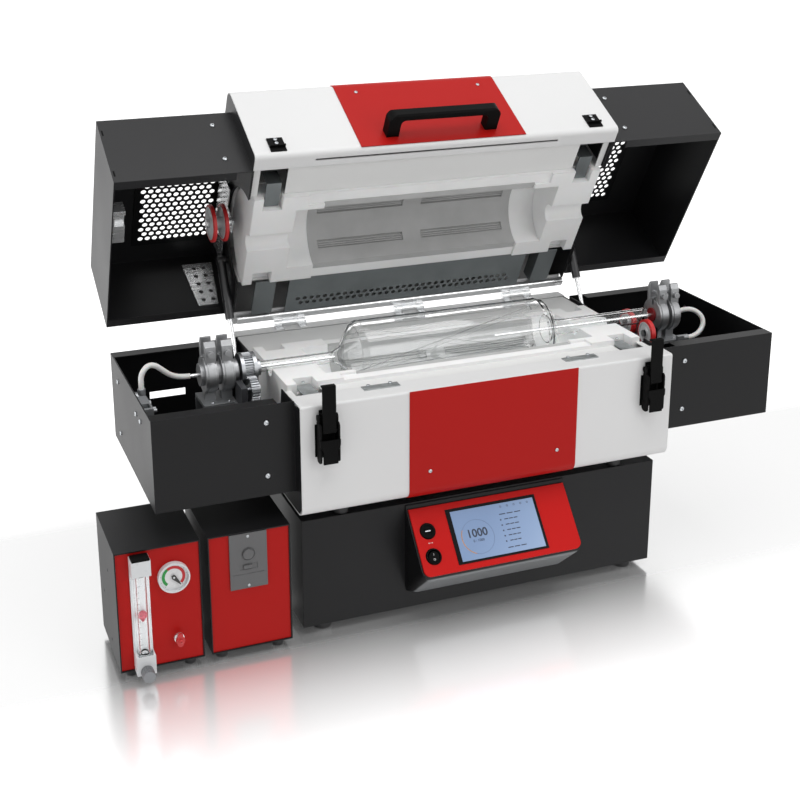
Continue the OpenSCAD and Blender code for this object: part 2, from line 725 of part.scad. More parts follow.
gland_x = [-half_l - 106, gear_x[0] - 9];
right_gland_x = [half_l + 80, half_l + 127];
ring_x1 = [gland_x[0], gland_x[0] + 20];
ring_x2 = [gland_x[0] + 28, gland_x[0] + 48];
right_ring_x1 = [right_gland_x[0], right_gland_x[0] + 18];
right_ring_x2 = [right_gland_x[0] + 25, right_gland_x[0] + 43];
gland_deck = axis_z - 44;
deck_t = 6;
tube_bore = left_neck_r + 2;
inlet_r = 3;
sheath_r = 2.5;
module gland_tubes() color("#8f9092") {
    difference() {
        rod_x([gland_x[0] - 6, gland_x[1]], axis_y, axis_z, gland_r);
        rod_x([gland_x[0] + 2, gland_x[1] + 1], axis_y, axis_z, tube_bore);
        rod_x([gland_x[0] - 9, gland_x[1]], axis_y, axis_z, inlet_r);
    }
    difference() {
        rod_x(right_gland_x, axis_y, axis_z, gland_r);
        rod_x([right_gland_x[0] - 1, right_gland_x[1] - 8], axis_y, axis_z, 8);
        rod_x([right_gland_x[0] - 1, right_gland_x[1] + 1], axis_y, axis_z, sheath_r);
    }
}
module clamp_ring(x) {
    difference() {
        union() {
            rod_x(x, axis_y, axis_z, ring_r);
            rod_x([x[0] + 4, x[1] - 4], axis_y, axis_z, ring_r + 2);
            // two tall ears with the clamping bolt
            block([x[0] + 1, x[1] - 1], [axis_y - 20, axis_y - 11], [axis_z + 20, axis_z + 60]);
            block([x[0] + 1, x[1] - 1], [axis_y + 11, axis_y + 20], [axis_z + 20, axis_z + 60]);
            // foot
            block([x[0] + 1, x[1] - 1], [axis_y - 9, axis_y + 9], [gland_deck, axis_z - 22]);
        }
        rod_x([x[0] - 1, x[1] + 1], axis_y, axis_z, gland_r);
        block([x[0] - 1, x[1] + 1], [axis_y - 3, axis_y + 3], [axis_z, axis_z + 40]);
        for (s = [-1, 1])
            translate([(x[0] + x[1]) / 2, axis_y + s * 20, axis_z + 60]) rotate([s * 30, 0, 0])
                cube([40, 9, 14], center = true);
    }
    rod_y((x[0] + x[1]) / 2, [axis_y - 25, axis_y + 25], axis_z + 40, 3.2);
    rod_y((x[0] + x[1]) / 2, [axis_y - 28, axis_y - 20], axis_z + 40, 5.5);
}
module clamp_rings() color("#9a9b9d") {
    for (x = [ring_x1, ring_x2, right_ring_x1, right_ring_x2]) clamp_ring(x);
}
seal_fit = 0.08;
module gland_seals() color("#b3262a") {
    ring_x([gland_x[1] - 20, gland_x[1] - 8], axis_y, axis_z, tube_bore, left_neck_r + seal_fit);
    ring_x([right_gland_x[0] - 3, right_gland_x[0]], axis_y, axis_z, 13, sheath_r);
}
module gland_brackets() color("#6d6f72") {
    floor_z = box_z + sheet;
    // left: deck under the clamp rings, end plate that carries the gearbox, rear wall and foot
    difference() {
        union() {
            block([ring_x1[0] - 6, bracket_x + 4], [axis_y - 30, axis_y + 34],
                [gland_deck - deck_t, gland_deck]);
            block([bracket_x, bracket_x + 4], [axis_y - 68, axis_y + 34], [floor_z, gland_deck]);
            block([ring_x1[0] - 6, bracket_x + 4], [axis_y + 30, axis_y + 34], [floor_z, gland_deck]);
            block([ring_x1[0] - 6, bracket_x + 4], [axis_y + 8, axis_y + 34], [floor_z, floor_z + 4]);
        }
        rod_x([bracket_x - 1, bracket_x + 5], motor_y, motor_z, 17);
    }
    // right: deck, end plate and foot
    block([right_ring_x1[0] - 5, right_ring_x2[1] + 5], [axis_y - 30, axis_y + 34],
        [gland_deck - deck_t, gland_deck]);
    block([right_ring_x1[0] - 5, right_ring_x1[0] - 1], [axis_y - 30, axis_y + 34],
        [floor_z, gland_deck]);
    block([right_ring_x1[0] - 5, right_ring_x2[1] + 5], [axis_y + 30, axis_y + 34],
        [floor_z, gland_deck]);
    block([right_ring_x1[0] - 5, right_ring_x2[1] + 5], [axis_y - 4, axis_y + 34],
        [floor_z, floor_z + 4]);
    // right: plate with the axles of the two support rollers
    difference() {
        block([roller_plate, roller_plate + 4], [axis_y - 50, axis_y + 50], [floor_z, roller_z + 12]);
        rod_x([roller_plate - 1, roller_plate + 5], axis_y, axis_z, right_neck_r + 6);
    }
    block([roller_plate, roller_plate + 26], [axis_y - 50, axis_y + 50], [floor_z, floor_z + 4]);
    for (s = [-1, 1]) {
        rod_x([roller_plate + 4, roller_plate + 7], axis_y + s * roller_spread, roller_z, 7);
        rod_x([roller_plate + 4, roller_plate + 21], axis_y + s * roller_spread, roller_z, axle_r);
        rod_x([roller_plate + 17.6, roller_plate + 21], axis_y + s * roller_spread, roller_z, 6);
    }
}
roller_plate = half_l + 37;
axle_r = 4;
axle_fit = 0.05;
roll_gap = 0.3;
roller_z = axis_z - sqrt(pow(roller_r + right_neck_r + roll_gap, 2) - pow(roller_spread, 2));
module tyred_roller(x, y, z, r, bore) difference() {
    union() {
        rod_x(x, y, z, r - 3);
        rod_x([x[0] + 1, x[1] - 1], y, z, r);
    }
    rod_x([x[0] - 1, x[1] + 1], y, z, bore);
    ring_x([x[1] - 2, x[1] + 1], y, z, r - 6, bore + 5);
    ring_x([x[0] - 1, x[0] + 2], y, z, r - 6, bore + 5);
}
roller_x = [roller_plate + 7.4, roller_plate + 17.2];
module support_roller_front() color("#c8282a")
    tyred_roller(roller_x, axis_y - roller_spread, roller_z, roller_r, axle_r + axle_fit);
module support_roller_rear() color("#c8282a")
    tyred_roller(roller_x, axis_y + roller_spread, roller_z, roller_r, axle_r + axle_fit);

module probe_tubes() color("#b7babd") {
    rod_x([-half_l - 126.6, -212], axis_y, axis_z, inlet_r);
    rod_x([90, right_gland_x[1] + 3.6], axis_y, axis_z, sheath_r);
}

// ---------- hoses ----------
hose_r = 4.5;
hose_points = [[-546, -30, 416], [-546, -30, 426], [-545, -29, 436], [-540, -28, 446],
    [-531, -26, 452], [-521, -24, 450], [-512, -22, 443], [-503, -20, 435], [-494, -17, 428],
    [-483, -14, 423], [-472, -12, 420.5], [-462, -12, 420]];
outlet_points = [[466, -12, 420], [476, -13, 421], [486, -16, 423], [497, -20, 422],
    [506, -25, 417], [512, -30, 409], [513, -34, 400], [509, -37, 391], [501, -40, 384],
    [492, -42, 380], [482, -43, 378], [474, -43, 378]];
outlet_port = [474, -43, 378];
function unit(v) = v / norm(v);
// frame of a swept tube at each point: direction along the route
function route_dir(p, i) = unit(p[min(i + 1, len(p) - 1)] - p[max(i - 1, 0)]);
function side_of(d) = unit(cross(d, [0.21, 0.97, 0.13]));
module hose(p, r, sides = 10) {
    n = len(p);
    points = [for (i = [0:n - 1]) let (d = route_dir(p, i), u = side_of(d), v = cross(d, u))
        for (k = [0:sides - 1]) p[i] + r * (cos(360 * k / sides) * u + sin(360 * k / sides) * v)];
    faces = concat([[for (k = [0:sides - 1]) k]],
        [for (i = [0:n - 2], k = [0:sides - 1])
            [i * sides + k, (i + 1) * sides + k, (i + 1) * sides + (k + 1) % sides,
                i * sides + (k + 1) % sides]],
        [[for (k = [sides - 1:-1:0]) (n - 1) * sides + k]]);
    polyhedron(points, faces);
}
module gas_hose() color("#dcdcdc") hose(hose_points, hose_r);
module outlet_hose() color("#dcdcdc") hose(outlet_points, hose_r);
module wall_fittings() {
    // gas inlet: nut on the wall, elbow up to the hose
    color("#2a2a2c") {
        rod_x([-box_end + sheet, -box_end + 9], hose_points[0][1], hose_points[0][2] - 14, 9);
        rod_x([-box_end + 8, -546], hose_points[0][1], hose_points[0][2] - 14, 6);
        translate([-546, hose_points[0][1], hose_points[0][2] - 20]) cylinder(r = 6.5, h = 20);
    }
    // interlock socket on the end wall of the left box
    color("#1c1c1e") difference() {
        block([-box_end + sheet, -box_end + 20], [-104, -44], [lower_top - 34, lower_top - 8]);
        block([-box_end + 5, -box_end + 17], [-98, -78], [lower_top - 20, lower_top - 7]);
    }
    color("#b0b2b5") for (y = [-92, -84])
        rod_x([-box_end + 20, -box_end + 27], y, lower_top - 16, 3);
    color("#b0b2b5") rod_x([-box_end + 20, -box_end + 24], -58, lower_top - 18, 7);
    // outlet port below the right gland
    color("#8f9092") {
        rod_x([right_ring_x2[1] + 5, outlet_port[0]], outlet_port[1], outlet_port[2], 6);
        block([right_ring_x2[1] - 8, right_ring_x2[1] + 5], [outlet_port[1] - 7, axis_y - 30],
            [gland_deck - deck_t, outlet_port[2] + 6]);
    }
}

// ---------- quartz vessel ----------
shoulder_l = 28;
body_x = [-172, 180];
neck_x = [-half_l - 88, half_l + 63];
flare_x = -214;
right_root = 208;
module vessel_outline(d)
    polygon([[neck_x[0], left_neck_r - d], [flare_x, left_neck_r - d],
        [flare_x + 14 + d / 2, left_neck_r + 8 - d], [body_x[0] - 6 + d, vessel_r - 6 - d],
        [body_x[0] + 4 + d, vessel_r - d], [body_x[1] - 8 - d, vessel_r - d],
        [body_x[1] + 2 - d, vessel_r - 3 - d], [body_x[1] + 10 - d, vessel_r - 12 - d],
        [right_root - 14 - d, right_neck_r + 12 - d],
        [right_root - d / 2, right_neck_r + 2 - d], [right_root + 12, right_neck_r - d],
        [neck_x[1], right_neck_r - d], [neck_x[1], 0], [neck_x[0], 0]]);
// solid of revolution about the tube axis, from an outline in X and radius
module about_axis() translate([0, axis_y, axis_z]) rotate([0, 90, 0]) rotate_extrude($fn = 72)
    rotate(90) mirror([0, 1]) children();
flight_count = 4;
flight_turn = 105;
flight_r = vessel_r - 8;
// a straight strip from the left shoulder to the right one, seated in the wall at both ends
module flight(a) {
    p = [body_x[0] - 2, flight_r * cos(a), flight_r * sin(a)];
    q = [body_x[1], flight_r * cos(a + flight_turn), flight_r * sin(a + flight_turn)];
    d = q - p;
    translate([p[0], axis_y + p[1], axis_z + p[2]])
        rotate([0, acos(d[2] / norm(d)), atan2(d[1], d[0])])
            translate([-4, -1.25, -10]) cube([8, 2.5, norm(d) + 20]);
}
module reaction_vessel() color("#dfe8ec", 0.45) {
    difference() {
        about_axis() vessel_outline(0);
        about_axis() vessel_outline(vessel_wall);
        rod_x([neck_x[0] - 1, neck_x[0] + 1], axis_y, axis_z, left_neck_r - vessel_wall);
        rod_x([neck_x[1] - 1, neck_x[1] + 1], axis_y, axis_z, right_neck_r - vessel_wall);
    }
    intersection() {
        union() for (k = [0:flight_count - 1]) flight(20 + k * 360 / flight_count);
        about_axis() vessel_outline(vessel_wall - 0.2);
    }
}

// ---------- gas struts ----------
strut_top = opened(strut_high);
strut_dir = (strut_top - strut_low) / norm(strut_top - strut_low);
strut_lean = atan2(strut_dir[0], strut_dir[1]);
strut_open_l = norm(strut_top - strut_low);
strut_closed_l = norm(strut_high - strut_low);
strut_fit = 0.05;
eye_w = 2 * strut_rod_r + 1;
module along_strut(x)
    translate([x, strut_low[0], strut_low[1]]) rotate([-strut_lean, 0, 0]) children();
module strut_rods() color("#d4d6d8") both_ends() along_strut(strut_x) difference() {
    union() {
        rotate([0, 90, 0]) cylinder(r = 6.5, h = eye_w, center = true);
        translate([0, 0, 5]) cylinder(r = strut_rod_r, h = strut_closed_l - 14);
    }
    rotate([0, 90, 0]) cylinder(r = stud_r + strut_fit, h = 20, center = true);
}
module strut_barrels() color("#2b2b2d") both_ends() along_strut(strut_x) difference() {
    union() {
        translate([0, 0, strut_open_l - strut_closed_l + 14])
            cylinder(r = strut_barrel_r, h = strut_closed_l - 14);
        translate([0, 0, strut_open_l]) rotate([0, 90, 0])
            cylinder(r = strut_barrel_r, h = 2 * strut_barrel_r - 2, center = true);
    }
    translate([0, 0, strut_open_l - strut_closed_l + 13])
        cylinder(r = strut_rod_r + strut_fit, h = strut_closed_l - 20);
    translate([0, 0, strut_open_l - strut_closed_l + 26])
        cylinder(r = strut_barrel_r - 1.5, h = strut_closed_l - 34);
}

// ---------- lid ----------
module upper_shell() color("#ececec") swung_open() difference() {
    along_x([-half_l, half_l]) {
        difference() {
            skin([-half_d, half_d], [lid_z, lid_top], sheet, [8, lid_bend, lid_bend, 0]);
            slab2([-half_d + lid_flange, half_d + 1], [lid_z - 1, lid_z + sheet + 1]);
            slab2([half_d - 30, half_d + 1], [lid_z - 1, rail_z + rail_h]);
        }
        slab2([half_d - 30, half_d], [rail_z + rail_h, rail_z + rail_h + sheet]);
    }
    // long slot in the fold under the front edge
    block([-231, 217], [-half_d + 14, -half_d + 18], [lid_z - 1, lid_z + sheet + 1]);
}
module upper_red_band() color("#c1302f") swung_open() along_x([-band_w / 2, band_w / 2])
    difference() {
        bent([-half_d - band_t, half_d], [lid_z, lid_top + band_t],
            [0, lid_bend + band_t, lid_bend, 0]);
        bent([-half_d, half_d + 1], [lid_z - 1, lid_top], [0, lid_bend, 0, 0]);
        slab2([-half_d - 3, -half_d + 3], [lid_z - 1, lid_z + 4]);
        slab2([half_d - lid_bend - 4, half_d + 1], [lid_z - 1, lid_top + 3]);
    }

handle_z = lid_z + 32;
handle_h = 20;
grip_t = 12;
handle_bend = 15;
module lid_handle() color("#141414") swung_open() {
    y0 = -half_d - band_t;
    out = y0 - handle_reach;
    half = handle_span / 2 + 12;
    difference() {
        translate([0, 0, handle_z - handle_h / 2]) linear_extrude(handle_h) difference() {
            translate([-half, out]) square([2 * half, y0 - out]);
            translate([-half, out]) corner_cut(handle_bend, 0);
            translate([half, out]) corner_cut(handle_bend, 90);
            difference() {
                translate([-half + 22, out + grip_t]) square([2 * half - 44, y0 - out]);
                translate([-half + 22, out + grip_t]) corner_cut(8, 0);
                translate([half - 22, out + grip_t]) corner_cut(8, 90);
            }
        }
        // the grip is flattened along its top and bottom edges
        for (z = [-1, 1])
            translate([0, out, handle_z + z * handle_h / 2]) rotate([45, 0, 0])
                cube([3 * half, 4, 4], center = true);
    }
}
module latch_keepers() color("#141414") swung_open() for (x = [-latch_x, latch_x]) {
    block([x - 13.5, x + 13.5], [-half_d - 2, -half_d], [lid_z + 9, lid_z + 42]);
    block([x - 13.5, x + 13.5], [-half_d - 6.5, -half_d - 1], [lid_z + 18, lid_z + 21]);
    for (z = [26.5, 35.5]) rod_y(x, [-half_d - 3.4, -half_d - 1], lid_z + z, 3.4);
}

upper_deck = lid_z + 8;
module upper_liner() color("#dcdcdc") swung_open() difference() {
    along_x([-liner_x, liner_x]) {
        slab2([-half_d + lid_flange - 6, axis_y - slab_half], [upper_deck, upper_deck + sheet]);
        slab2([-half_d + lid_flange - 6, -half_d + lid_flange - 4],
            [lid_z + sheet, upper_deck + sheet]);
        difference() {
            slab2([axis_y - slab_half - sheet, axis_y + slab_half + sheet],
                [upper_deck, axis_z + insulation_r + sheet]);
            slab2([axis_y - slab_half, axis_y + slab_half],
                [upper_deck - 1, axis_z + insulation_r]);
        }
    }
    for (s = [-1, 1])
        block([min(s * corner_x[0], s * corner_x[1]), max(s * corner_x[0], s * corner_x[1])],
            [-half_d + lid_flange + 4, axis_y - slab_half + 1],
            [upper_deck - 1, upper_deck + 30]);
}
module above_axis() translate([0, 0, 2 * axis_z]) mirror([0, 0, 1]) children();
module upper_insulation() color("#e6e6e4") swung_open() above_axis() insulation_half();
module upper_heater() color("#8a8a88") swung_open() above_axis() heater_half_shell();

baffle_y = [axis_y + slab_half + sheet, hinge_y - 22];
module vent_baffle() color("#8e9192") swung_open() {
    difference() {
        block([-236, 236], baffle_y, [upper_deck - 4, upper_deck - 2.5]);
        for (i = [0:32], row = [0, 1])
            translate([-214 + i * 13 + row * 6.5, baffle_y[1] - 30 + row * 11, upper_deck - 10])
                cylinder(r = 4.2, h = 20);
    }
    // flange that fixes the baffle to the liner tray
    block([-236, 236], [baffle_y[0], baffle_y[0] + 1.5], [upper_deck - 3, upper_deck + 12]);
    // galvanised brackets at both ends
    both_ends() {
        block([262, 300], [baffle_y[0], baffle_y[1] - 4], [upper_deck - 6, upper_deck - 4]);
        block([262, 264], [baffle_y[0], baffle_y[1] - 4], [upper_deck - 5, upper_deck + 22]);
        // tie bracket at the front of the insulation
        block([280, 306], [axis_y - slab_half - 25, axis_y - slab_half + 24],
            [upper_deck - 1, upper_deck + 1]);
        block([280, 306], [axis_y - slab_half - 26, axis_y - slab_half - 24],
            [upper_deck - 1, upper_deck + 30]);
    }
}

// ---------- hoods ----------
vent_x = [half_l + 2, half_l + 152];
vent_y = [-78, 112];
hood_fold = 16;
module hood() {
    front = box_front;
    back = box_back;
    difference() {
        block([half_l, box_end], [front, back], [lid_z, hood_top]);
        block([half_l + end_plate, box_end - sheet], [front + sheet, back - sheet],
            [lid_z - 1, hood_top - sheet]);
        rod_x([half_l - 1, half_l + end_plate + 1], axis_y, axis_z, cutout_r);
        block([vent_x[0] + 6, vent_x[1]], vent_y, [hood_top - sheet - 1, hood_top + 1]);
    }
    // folds along the front and back edges, short of the body
    for (y = [[front, front + hood_fold], [back - hood_fold, back]])
        block([half_l + notch_l, box_end], y, [lid_z, lid_z + sheet]);
    // plate that closes the lid's end
    difference() {
        along_x([half_l - end_plate, half_l]) difference() {
            bent([-half_d + sheet, half_d - sheet], [lid_z + sheet, lid_top - sheet],
                [6, lid_bend - sheet, lid_bend - sheet, 0]);
            slab2([half_d - 34, half_d], [lid_z, rail_z + rail_h + sheet]);
        }
        rod_x([half_l - end_plate - 1, half_l + 1], axis_y, axis_z, cutout_r);
    }
    // stud beside the upper end of the gas strut
    rod_x([half_l + end_plate, half_l + 4.4], strut_high[0], strut_high[1], 6);
}
module end_hoods() color("#3c3d3f") swung_open() both_ends() hood();
module grille() {
    t = 1.5;
    rows = floor((vent_y[1] - vent_y[0] - 6) / (grille_pitch * 0.866));
    cols = floor((vent_x[1] - vent_x[0] - 16) / grille_pitch);
    translate([0, 0, hood_top - sheet - t]) linear_extrude(t) difference() {
        translate([vent_x[0] + 2, vent_y[0] - 4])
            square([vent_x[1] - vent_x[0] + 2, vent_y[1] - vent_y[0] + 8]);
        for (j = [0:rows - 1], i = [0:cols - 1])
            translate([vent_x[0] + 15 + (i + (j % 2) / 2) * grille_pitch,
                vent_y[0] + 9 + j * grille_pitch * 0.866]) circle(d = grille_hole, $fn = 16);
    }
}
module hood_grilles() color("#2b2b2d") swung_open() both_ends() grille();

idler_z = axis_z + rim_r + idler_r + roll_gap;
idler_x = [[gear_x[0] - rim_w, gear_x[0]], [gear_x[1], gear_x[1] + rim_w]];
idler_axle = 5;
module hood_fittings() swung_open() {
    // plate on the inner wall, standing on two spacers, with the axle of the rollers
    color("#b4b8bb") {
        block([-half_l - 9, -half_l - 7], [axis_y - 53, axis_y + 122], [hood_top - 72, hood_top - 12]);
        block([-half_l - 9, -half_l - 7], [axis_y - 14, axis_y + 14],
            [idler_z - 14, hood_top - 70]);
        for (y = [axis_y - 40, axis_y + 108])
            rod_x([-half_l - 7, -half_l - end_plate], y, hood_top - 37, 6);
        rod_x([idler_x[0][0] - 6, -half_l - 8.5], axis_y, idler_z, idler_axle);
        rod_x([idler_x[0][0] - 6, idler_x[0][0] - 1.2], axis_y, idler_z, 8);
        rod_x([idler_x[1][1] + 1.2, -half_l - 8.5], axis_y, idler_z, 8);
    }
    // slotted bracket on the back wall
    color("#c6c9cc") difference() {
        along_y([box_back - sheet - 2, box_back - sheet])
            polygon([[-half_l - 66, lid_z + 128], [-half_l - 10, lid_z + 128],
                [-half_l - 22, lid_z + 23], [-half_l - 58, lid_z + 23]]);
        for (z = [36:20:116], x = [28, 46])
            rod_y(-half_l - x, [box_back - 8, box_back + 1], lid_z + z, 4);
    }
    // interlock block on the left end wall
    color("#9b9da0") difference() {
        block([-box_end + sheet, -box_end + 23], [-106, -38], [lid_z + 6, lid_z + 30]);
        block([-box_end + 6, -box_end + 24], [-98, -74], [lid_z + 5, lid_z + 14]);
        block([-box_end + 17, -box_end + 24], [-66, -42], [lid_z + 10, lid_z + 26]);
    }
}
module idler_rollers() color("#c8282a") swung_open() {
    for (x = idler_x) tyred_roller([x[0] - 0.5, x[1] + 0.5], axis_y, idler_z, idler_r,
        idler_axle + axle_fit);
    ring_x([idler_x[0][1], idler_x[1][0]], axis_y, idler_z, 9, idler_axle + axle_fit);
}

// ---------- gas module and safety module ----------
module module_case(x) difference() {
    block([x, x + module_w], [module_y, module_y + module_d], [module_base, module_top]);
    block([x + sheet, x + module_w - sheet], [module_y - 1, module_y + module_d - sheet],
        [module_base + sheet, module_top - sheet]);
    // vent slots in the left wall
    for (p = [[68, 145], [116, 84], [69, 22]])
        translate([x - 1, module_y + p[0], module_base + p[1]]) rotate([0, 90, 0])
            cylinder(r = 3, h = sheet + 2);
}
module module_cases() color("#232325") for (x = module_x) module_case(x);
panel_in = 4;
module module_panels() color("#a6201f") for (x = module_x)
    block([x + sheet, x + module_w - sheet], [module_y + panel_in - 2, module_y + panel_in],
        [module_base + sheet, module_top - sheet]);
panel_y = module_y + panel_in - 2;
plate_x = module_x[1] + 34;
plate_w = 61;
boss_z = module_top - 38;
module switch_plate() color("#6b6b6b") {
    difference() {
        block([plate_x, plate_x + plate_w], [panel_y - 3, panel_y], [module_top - 98, module_top - 2.5]);
        // ring groove round the boss, small recess under it and a fine line across the plate
        rod_y(plate_x + 30, [panel_y - 4, panel_y - 2], boss_z, 11);
        block([plate_x + 16, plate_x + 45], [panel_y - 4, panel_y - 2], [boss_z - 27, boss_z - 17]);
        block([plate_x + 5, plate_x + plate_w - 5], [panel_y - 4, panel_y - 2.4],
            [boss_z - 35, boss_z - 34]);
    }
    rod_y(plate_x + 30, [panel_y - 6, panel_y - 1], boss_z, 8.5);
    block([plate_x + 22, plate_x + 36], [panel_y - 5, panel_y - 1], [boss_z - 25, boss_z - 19]);
}

flow_x = module_x[0] + 37;
flow_bore = 8.5;
flow_tube_z = [module_base + 34, module_base + 171];
flow_y = panel_y - 12;
module flowmeter_body() color("#c8cacc") {
    block([flow_x - 15, flow_x + 15], [panel_y - 3, panel_y], [module_base + 8, module_top - 8]);
    difference() {
        block([flow_x - 15, flow_x + 15], [panel_y - 24, panel_y - 2.5], [flow_tube_z[1], module_top - 8]);
        translate([flow_x, flow_y, flow_tube_z[1] - 1]) cylinder(r = 3, h = 12);
    }
    difference() {
        block([flow_x - 15, flow_x + 15], [panel_y - 24, panel_y - 2.5], [module_base + 2, flow_tube_z[0]]);
        translate([flow_x, flow_y, flow_tube_z[0] - 8]) cylinder(r = 3, h = 12);
        rod_y(flow_x, [panel_y - 25, panel_y - 12], knob_z, 3 + axle_fit);
    }
}
module flowmeter_tube() color("#e8eef0", 0.4) difference() {
    block([flow_x - 11.5, flow_x + 11.5], [flow_y - 10.5, flow_y + 8.8], flow_tube_z);
    translate([flow_x, flow_y, flow_tube_z[0] - 1])
        cylinder(r = flow_bore, h = flow_tube_z[1] - flow_tube_z[0] + 2);
}
float_z = module_base + 90;
module flow_float() color("#e06a70") translate([flow_x, flow_y, float_z]) {
    cylinder(r1 = 2, r2 = flow_bore - 0.6, h = 9);
    translate([0, 0, 9]) cylinder(r = flow_bore - 0.6, h = 5);
}
knob_z = module_base + 9;
knob_r = 10;
module flow_knob() color("#8c8d8f") {
    rod_y(flow_x, [panel_y - 34, panel_y - 14], knob_z, 3);
    difference() {
        rod_y(flow_x, [panel_y - 43, panel_y - 24.6], knob_z, knob_r);
        for (a = [0:24:336]) translate([flow_x, panel_y - 36, knob_z]) rotate([0, a, 0])
            translate([knob_r + 0.7, 0, 0]) rotate([90, 0, 0]) cylinder(r = 1.5, h = 18, center = true);
    }
}

gauge_at = [module_x[0] + 90, module_top - 54];
gauge_r = 25;
module gauge_body() {
    color("#d9dbdd") difference() {
        rod_y(gauge_at[0], [panel_y - 9, panel_y], gauge_at[1], gauge_r);
        rod_y(gauge_at[0], [panel_y - 10, panel_y - 3], gauge_at[1], gauge_r - 2.5);
    }
    color("white") rod_y(gauge_at[0], [panel_y - 7.5, panel_y - 2.5], gauge_at[1], 1.6);
}
needle_angle = -52;
module gauge_needle() color("#151515")
    translate([gauge_at[0], panel_y - 5.5, gauge_at[1]]) rotate([0, -needle_angle, 0]) difference() {
        union() {
            rotate([90, 0, 0]) cylinder(r = 3.6, h = 1.2);
            rotate([90, 0, 0]) linear_extrude(1.2)
                polygon([[-4, -2], [-4, 2], [3, 3.2], [17, 0.6], [17, -0.6], [3, -3.2]]);
        }
        rotate([90, 0, 0]) cylinder(r = 1.66, h = 8, center = true);
    }

valve_at = [module_x[0] + 94, module_base + 43];
module valve_body() color("#b8babc") {
    rod_y(valve_at[0], [panel_y - 4, panel_y], valve_at[1], 8);
    rod_y(valve_at[0], [panel_y - 9, panel_y - 4], valve_at[1], 6.5);
    rod_y(valve_at[0], [panel_y - 15, panel_y - 9], valve_at[1], 3);
}
module valve_lever() color("#c33034") difference() {
    union() {
        rod_y(valve_at[0], [panel_y - 14, panel_y - 9.4], valve_at[1], 7);
        along_y([panel_y - 13.4, panel_y - 10]) {
            translate([valve_at[0] - 4.5, valve_at[1] - 6]) square([9, 14]);
            for (z = [-6, 8]) translate([valve_at[0], valve_at[1] + z]) circle(4.5);
        }
    }
    rod_y(valve_at[0], [panel_y - 20, panel_y - 5], valve_at[1], 3 + axle_fit);
}

placed() base_case();
placed() feet();
placed() control_housing();
placed() control_fascia();
placed() display();
placed() power_fittings();
placed() power_rocker();
placed() lower_shell();
placed() lower_red_band();
placed() lower_boxes();
placed() lower_liner();
placed() lower_insulation();
placed() lower_heater();
placed() tie_brackets();
placed() hinge_leaves();
placed() latch_bases();
placed() latch_lever_left();
placed() latch_lever_right();
placed() latch_hook_left();
placed() latch_hook_right();
placed() gland_brackets();
placed() gland_tubes();
placed() clamp_rings();
placed() gland_seals();
placed() drive_motor();
placed() drive_pinion();
placed() probe_tubes();
placed() wall_fittings();
placed() gas_hose();
placed() outlet_hose();
placed() reaction_vessel();
placed() vessel_gear();
placed() support_roller_front();
placed() support_roller_rear();
placed() strut_rods();
placed() strut_barrels();
placed() upper_shell();
placed() upper_red_band();
placed() lid_handle();
placed() latch_keepers();
placed() upper_liner();
placed() upper_insulation();
placed() upper_heater();
placed() end_hoods();
placed() hood_grilles();
placed() vent_baffle();
placed() hinge_rail();
placed() hood_fittings();
placed() idler_rollers();
placed() module_cases();
placed() module_panels();
placed() switch_plate();
placed() flowmeter_body();
placed() flowmeter_tube();
placed() flow_float();
placed() flow_knob();
placed() gauge_body();
placed() gauge_needle();
placed() valve_body();
placed() valve_lever();
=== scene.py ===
"""A bench tube furnace with its lid open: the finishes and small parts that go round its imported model."""

import json
import math

import bmesh
import bpy
from mathutils import Matrix, Vector


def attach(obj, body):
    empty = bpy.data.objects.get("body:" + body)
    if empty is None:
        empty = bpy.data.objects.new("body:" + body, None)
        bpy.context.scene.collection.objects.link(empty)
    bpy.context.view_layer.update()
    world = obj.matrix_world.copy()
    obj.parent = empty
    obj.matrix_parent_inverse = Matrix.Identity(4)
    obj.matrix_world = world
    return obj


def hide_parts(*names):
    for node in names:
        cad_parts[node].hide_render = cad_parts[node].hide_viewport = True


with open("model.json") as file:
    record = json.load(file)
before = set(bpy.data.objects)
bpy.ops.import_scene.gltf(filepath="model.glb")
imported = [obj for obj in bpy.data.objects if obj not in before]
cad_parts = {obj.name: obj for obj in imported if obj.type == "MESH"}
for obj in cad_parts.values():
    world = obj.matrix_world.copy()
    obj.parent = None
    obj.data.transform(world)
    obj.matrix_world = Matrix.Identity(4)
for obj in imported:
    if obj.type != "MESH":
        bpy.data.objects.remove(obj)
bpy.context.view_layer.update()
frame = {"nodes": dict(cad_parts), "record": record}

# The viewpoint, a little above the open lid and to the left of the furnace, with a lens of about
# 60 mm, shifted to set the furnace in the frame.
scene = bpy.context.scene
bpy.ops.object.select_all(action="DESELECT")
YAW, PITCH, ROLL = (math.radians(angle) for angle in (20.72, -16.46, -0.36))
STANDPOINT = Vector((-0.87776, -2.10000, 1.19513))
lens = bpy.data.cameras.new("viewpoint")
lens.lens, lens.sensor_width = 60.43, 36
lens.shift_x, lens.shift_y = 0.0355, -0.1516
viewpoint = bpy.data.objects.new("viewpoint", lens)
scene.collection.objects.link(viewpoint)
ahead = Vector((math.sin(YAW) * math.cos(PITCH), math.cos(YAW) * math.cos(PITCH), math.sin(PITCH)))
turned = ahead.to_track_quat("-Z", "Y").to_matrix().to_4x4() @ Matrix.Rotation(ROLL, 4, "Z")
viewpoint.matrix_world = Matrix.Translation(STANDPOINT) @ turned
scene.camera = viewpoint


# The two silicone hoses. One brings the gas in from the fitting on the left wall, and the other
# takes it from the right gland to its port. Both are limp tube, pushed over plain stubs.
BODY_X, BODY_Y = 36, -48.9617  # the middle of the furnace's body in the frame, in millimetres


def place(x, y, z):
    """A point of the furnace, drawn in millimetres from the middle of its body, in the frame's metres."""
    return Vector(((x + BODY_X) / 1000, (y + BODY_Y) / 1000, z / 1000))


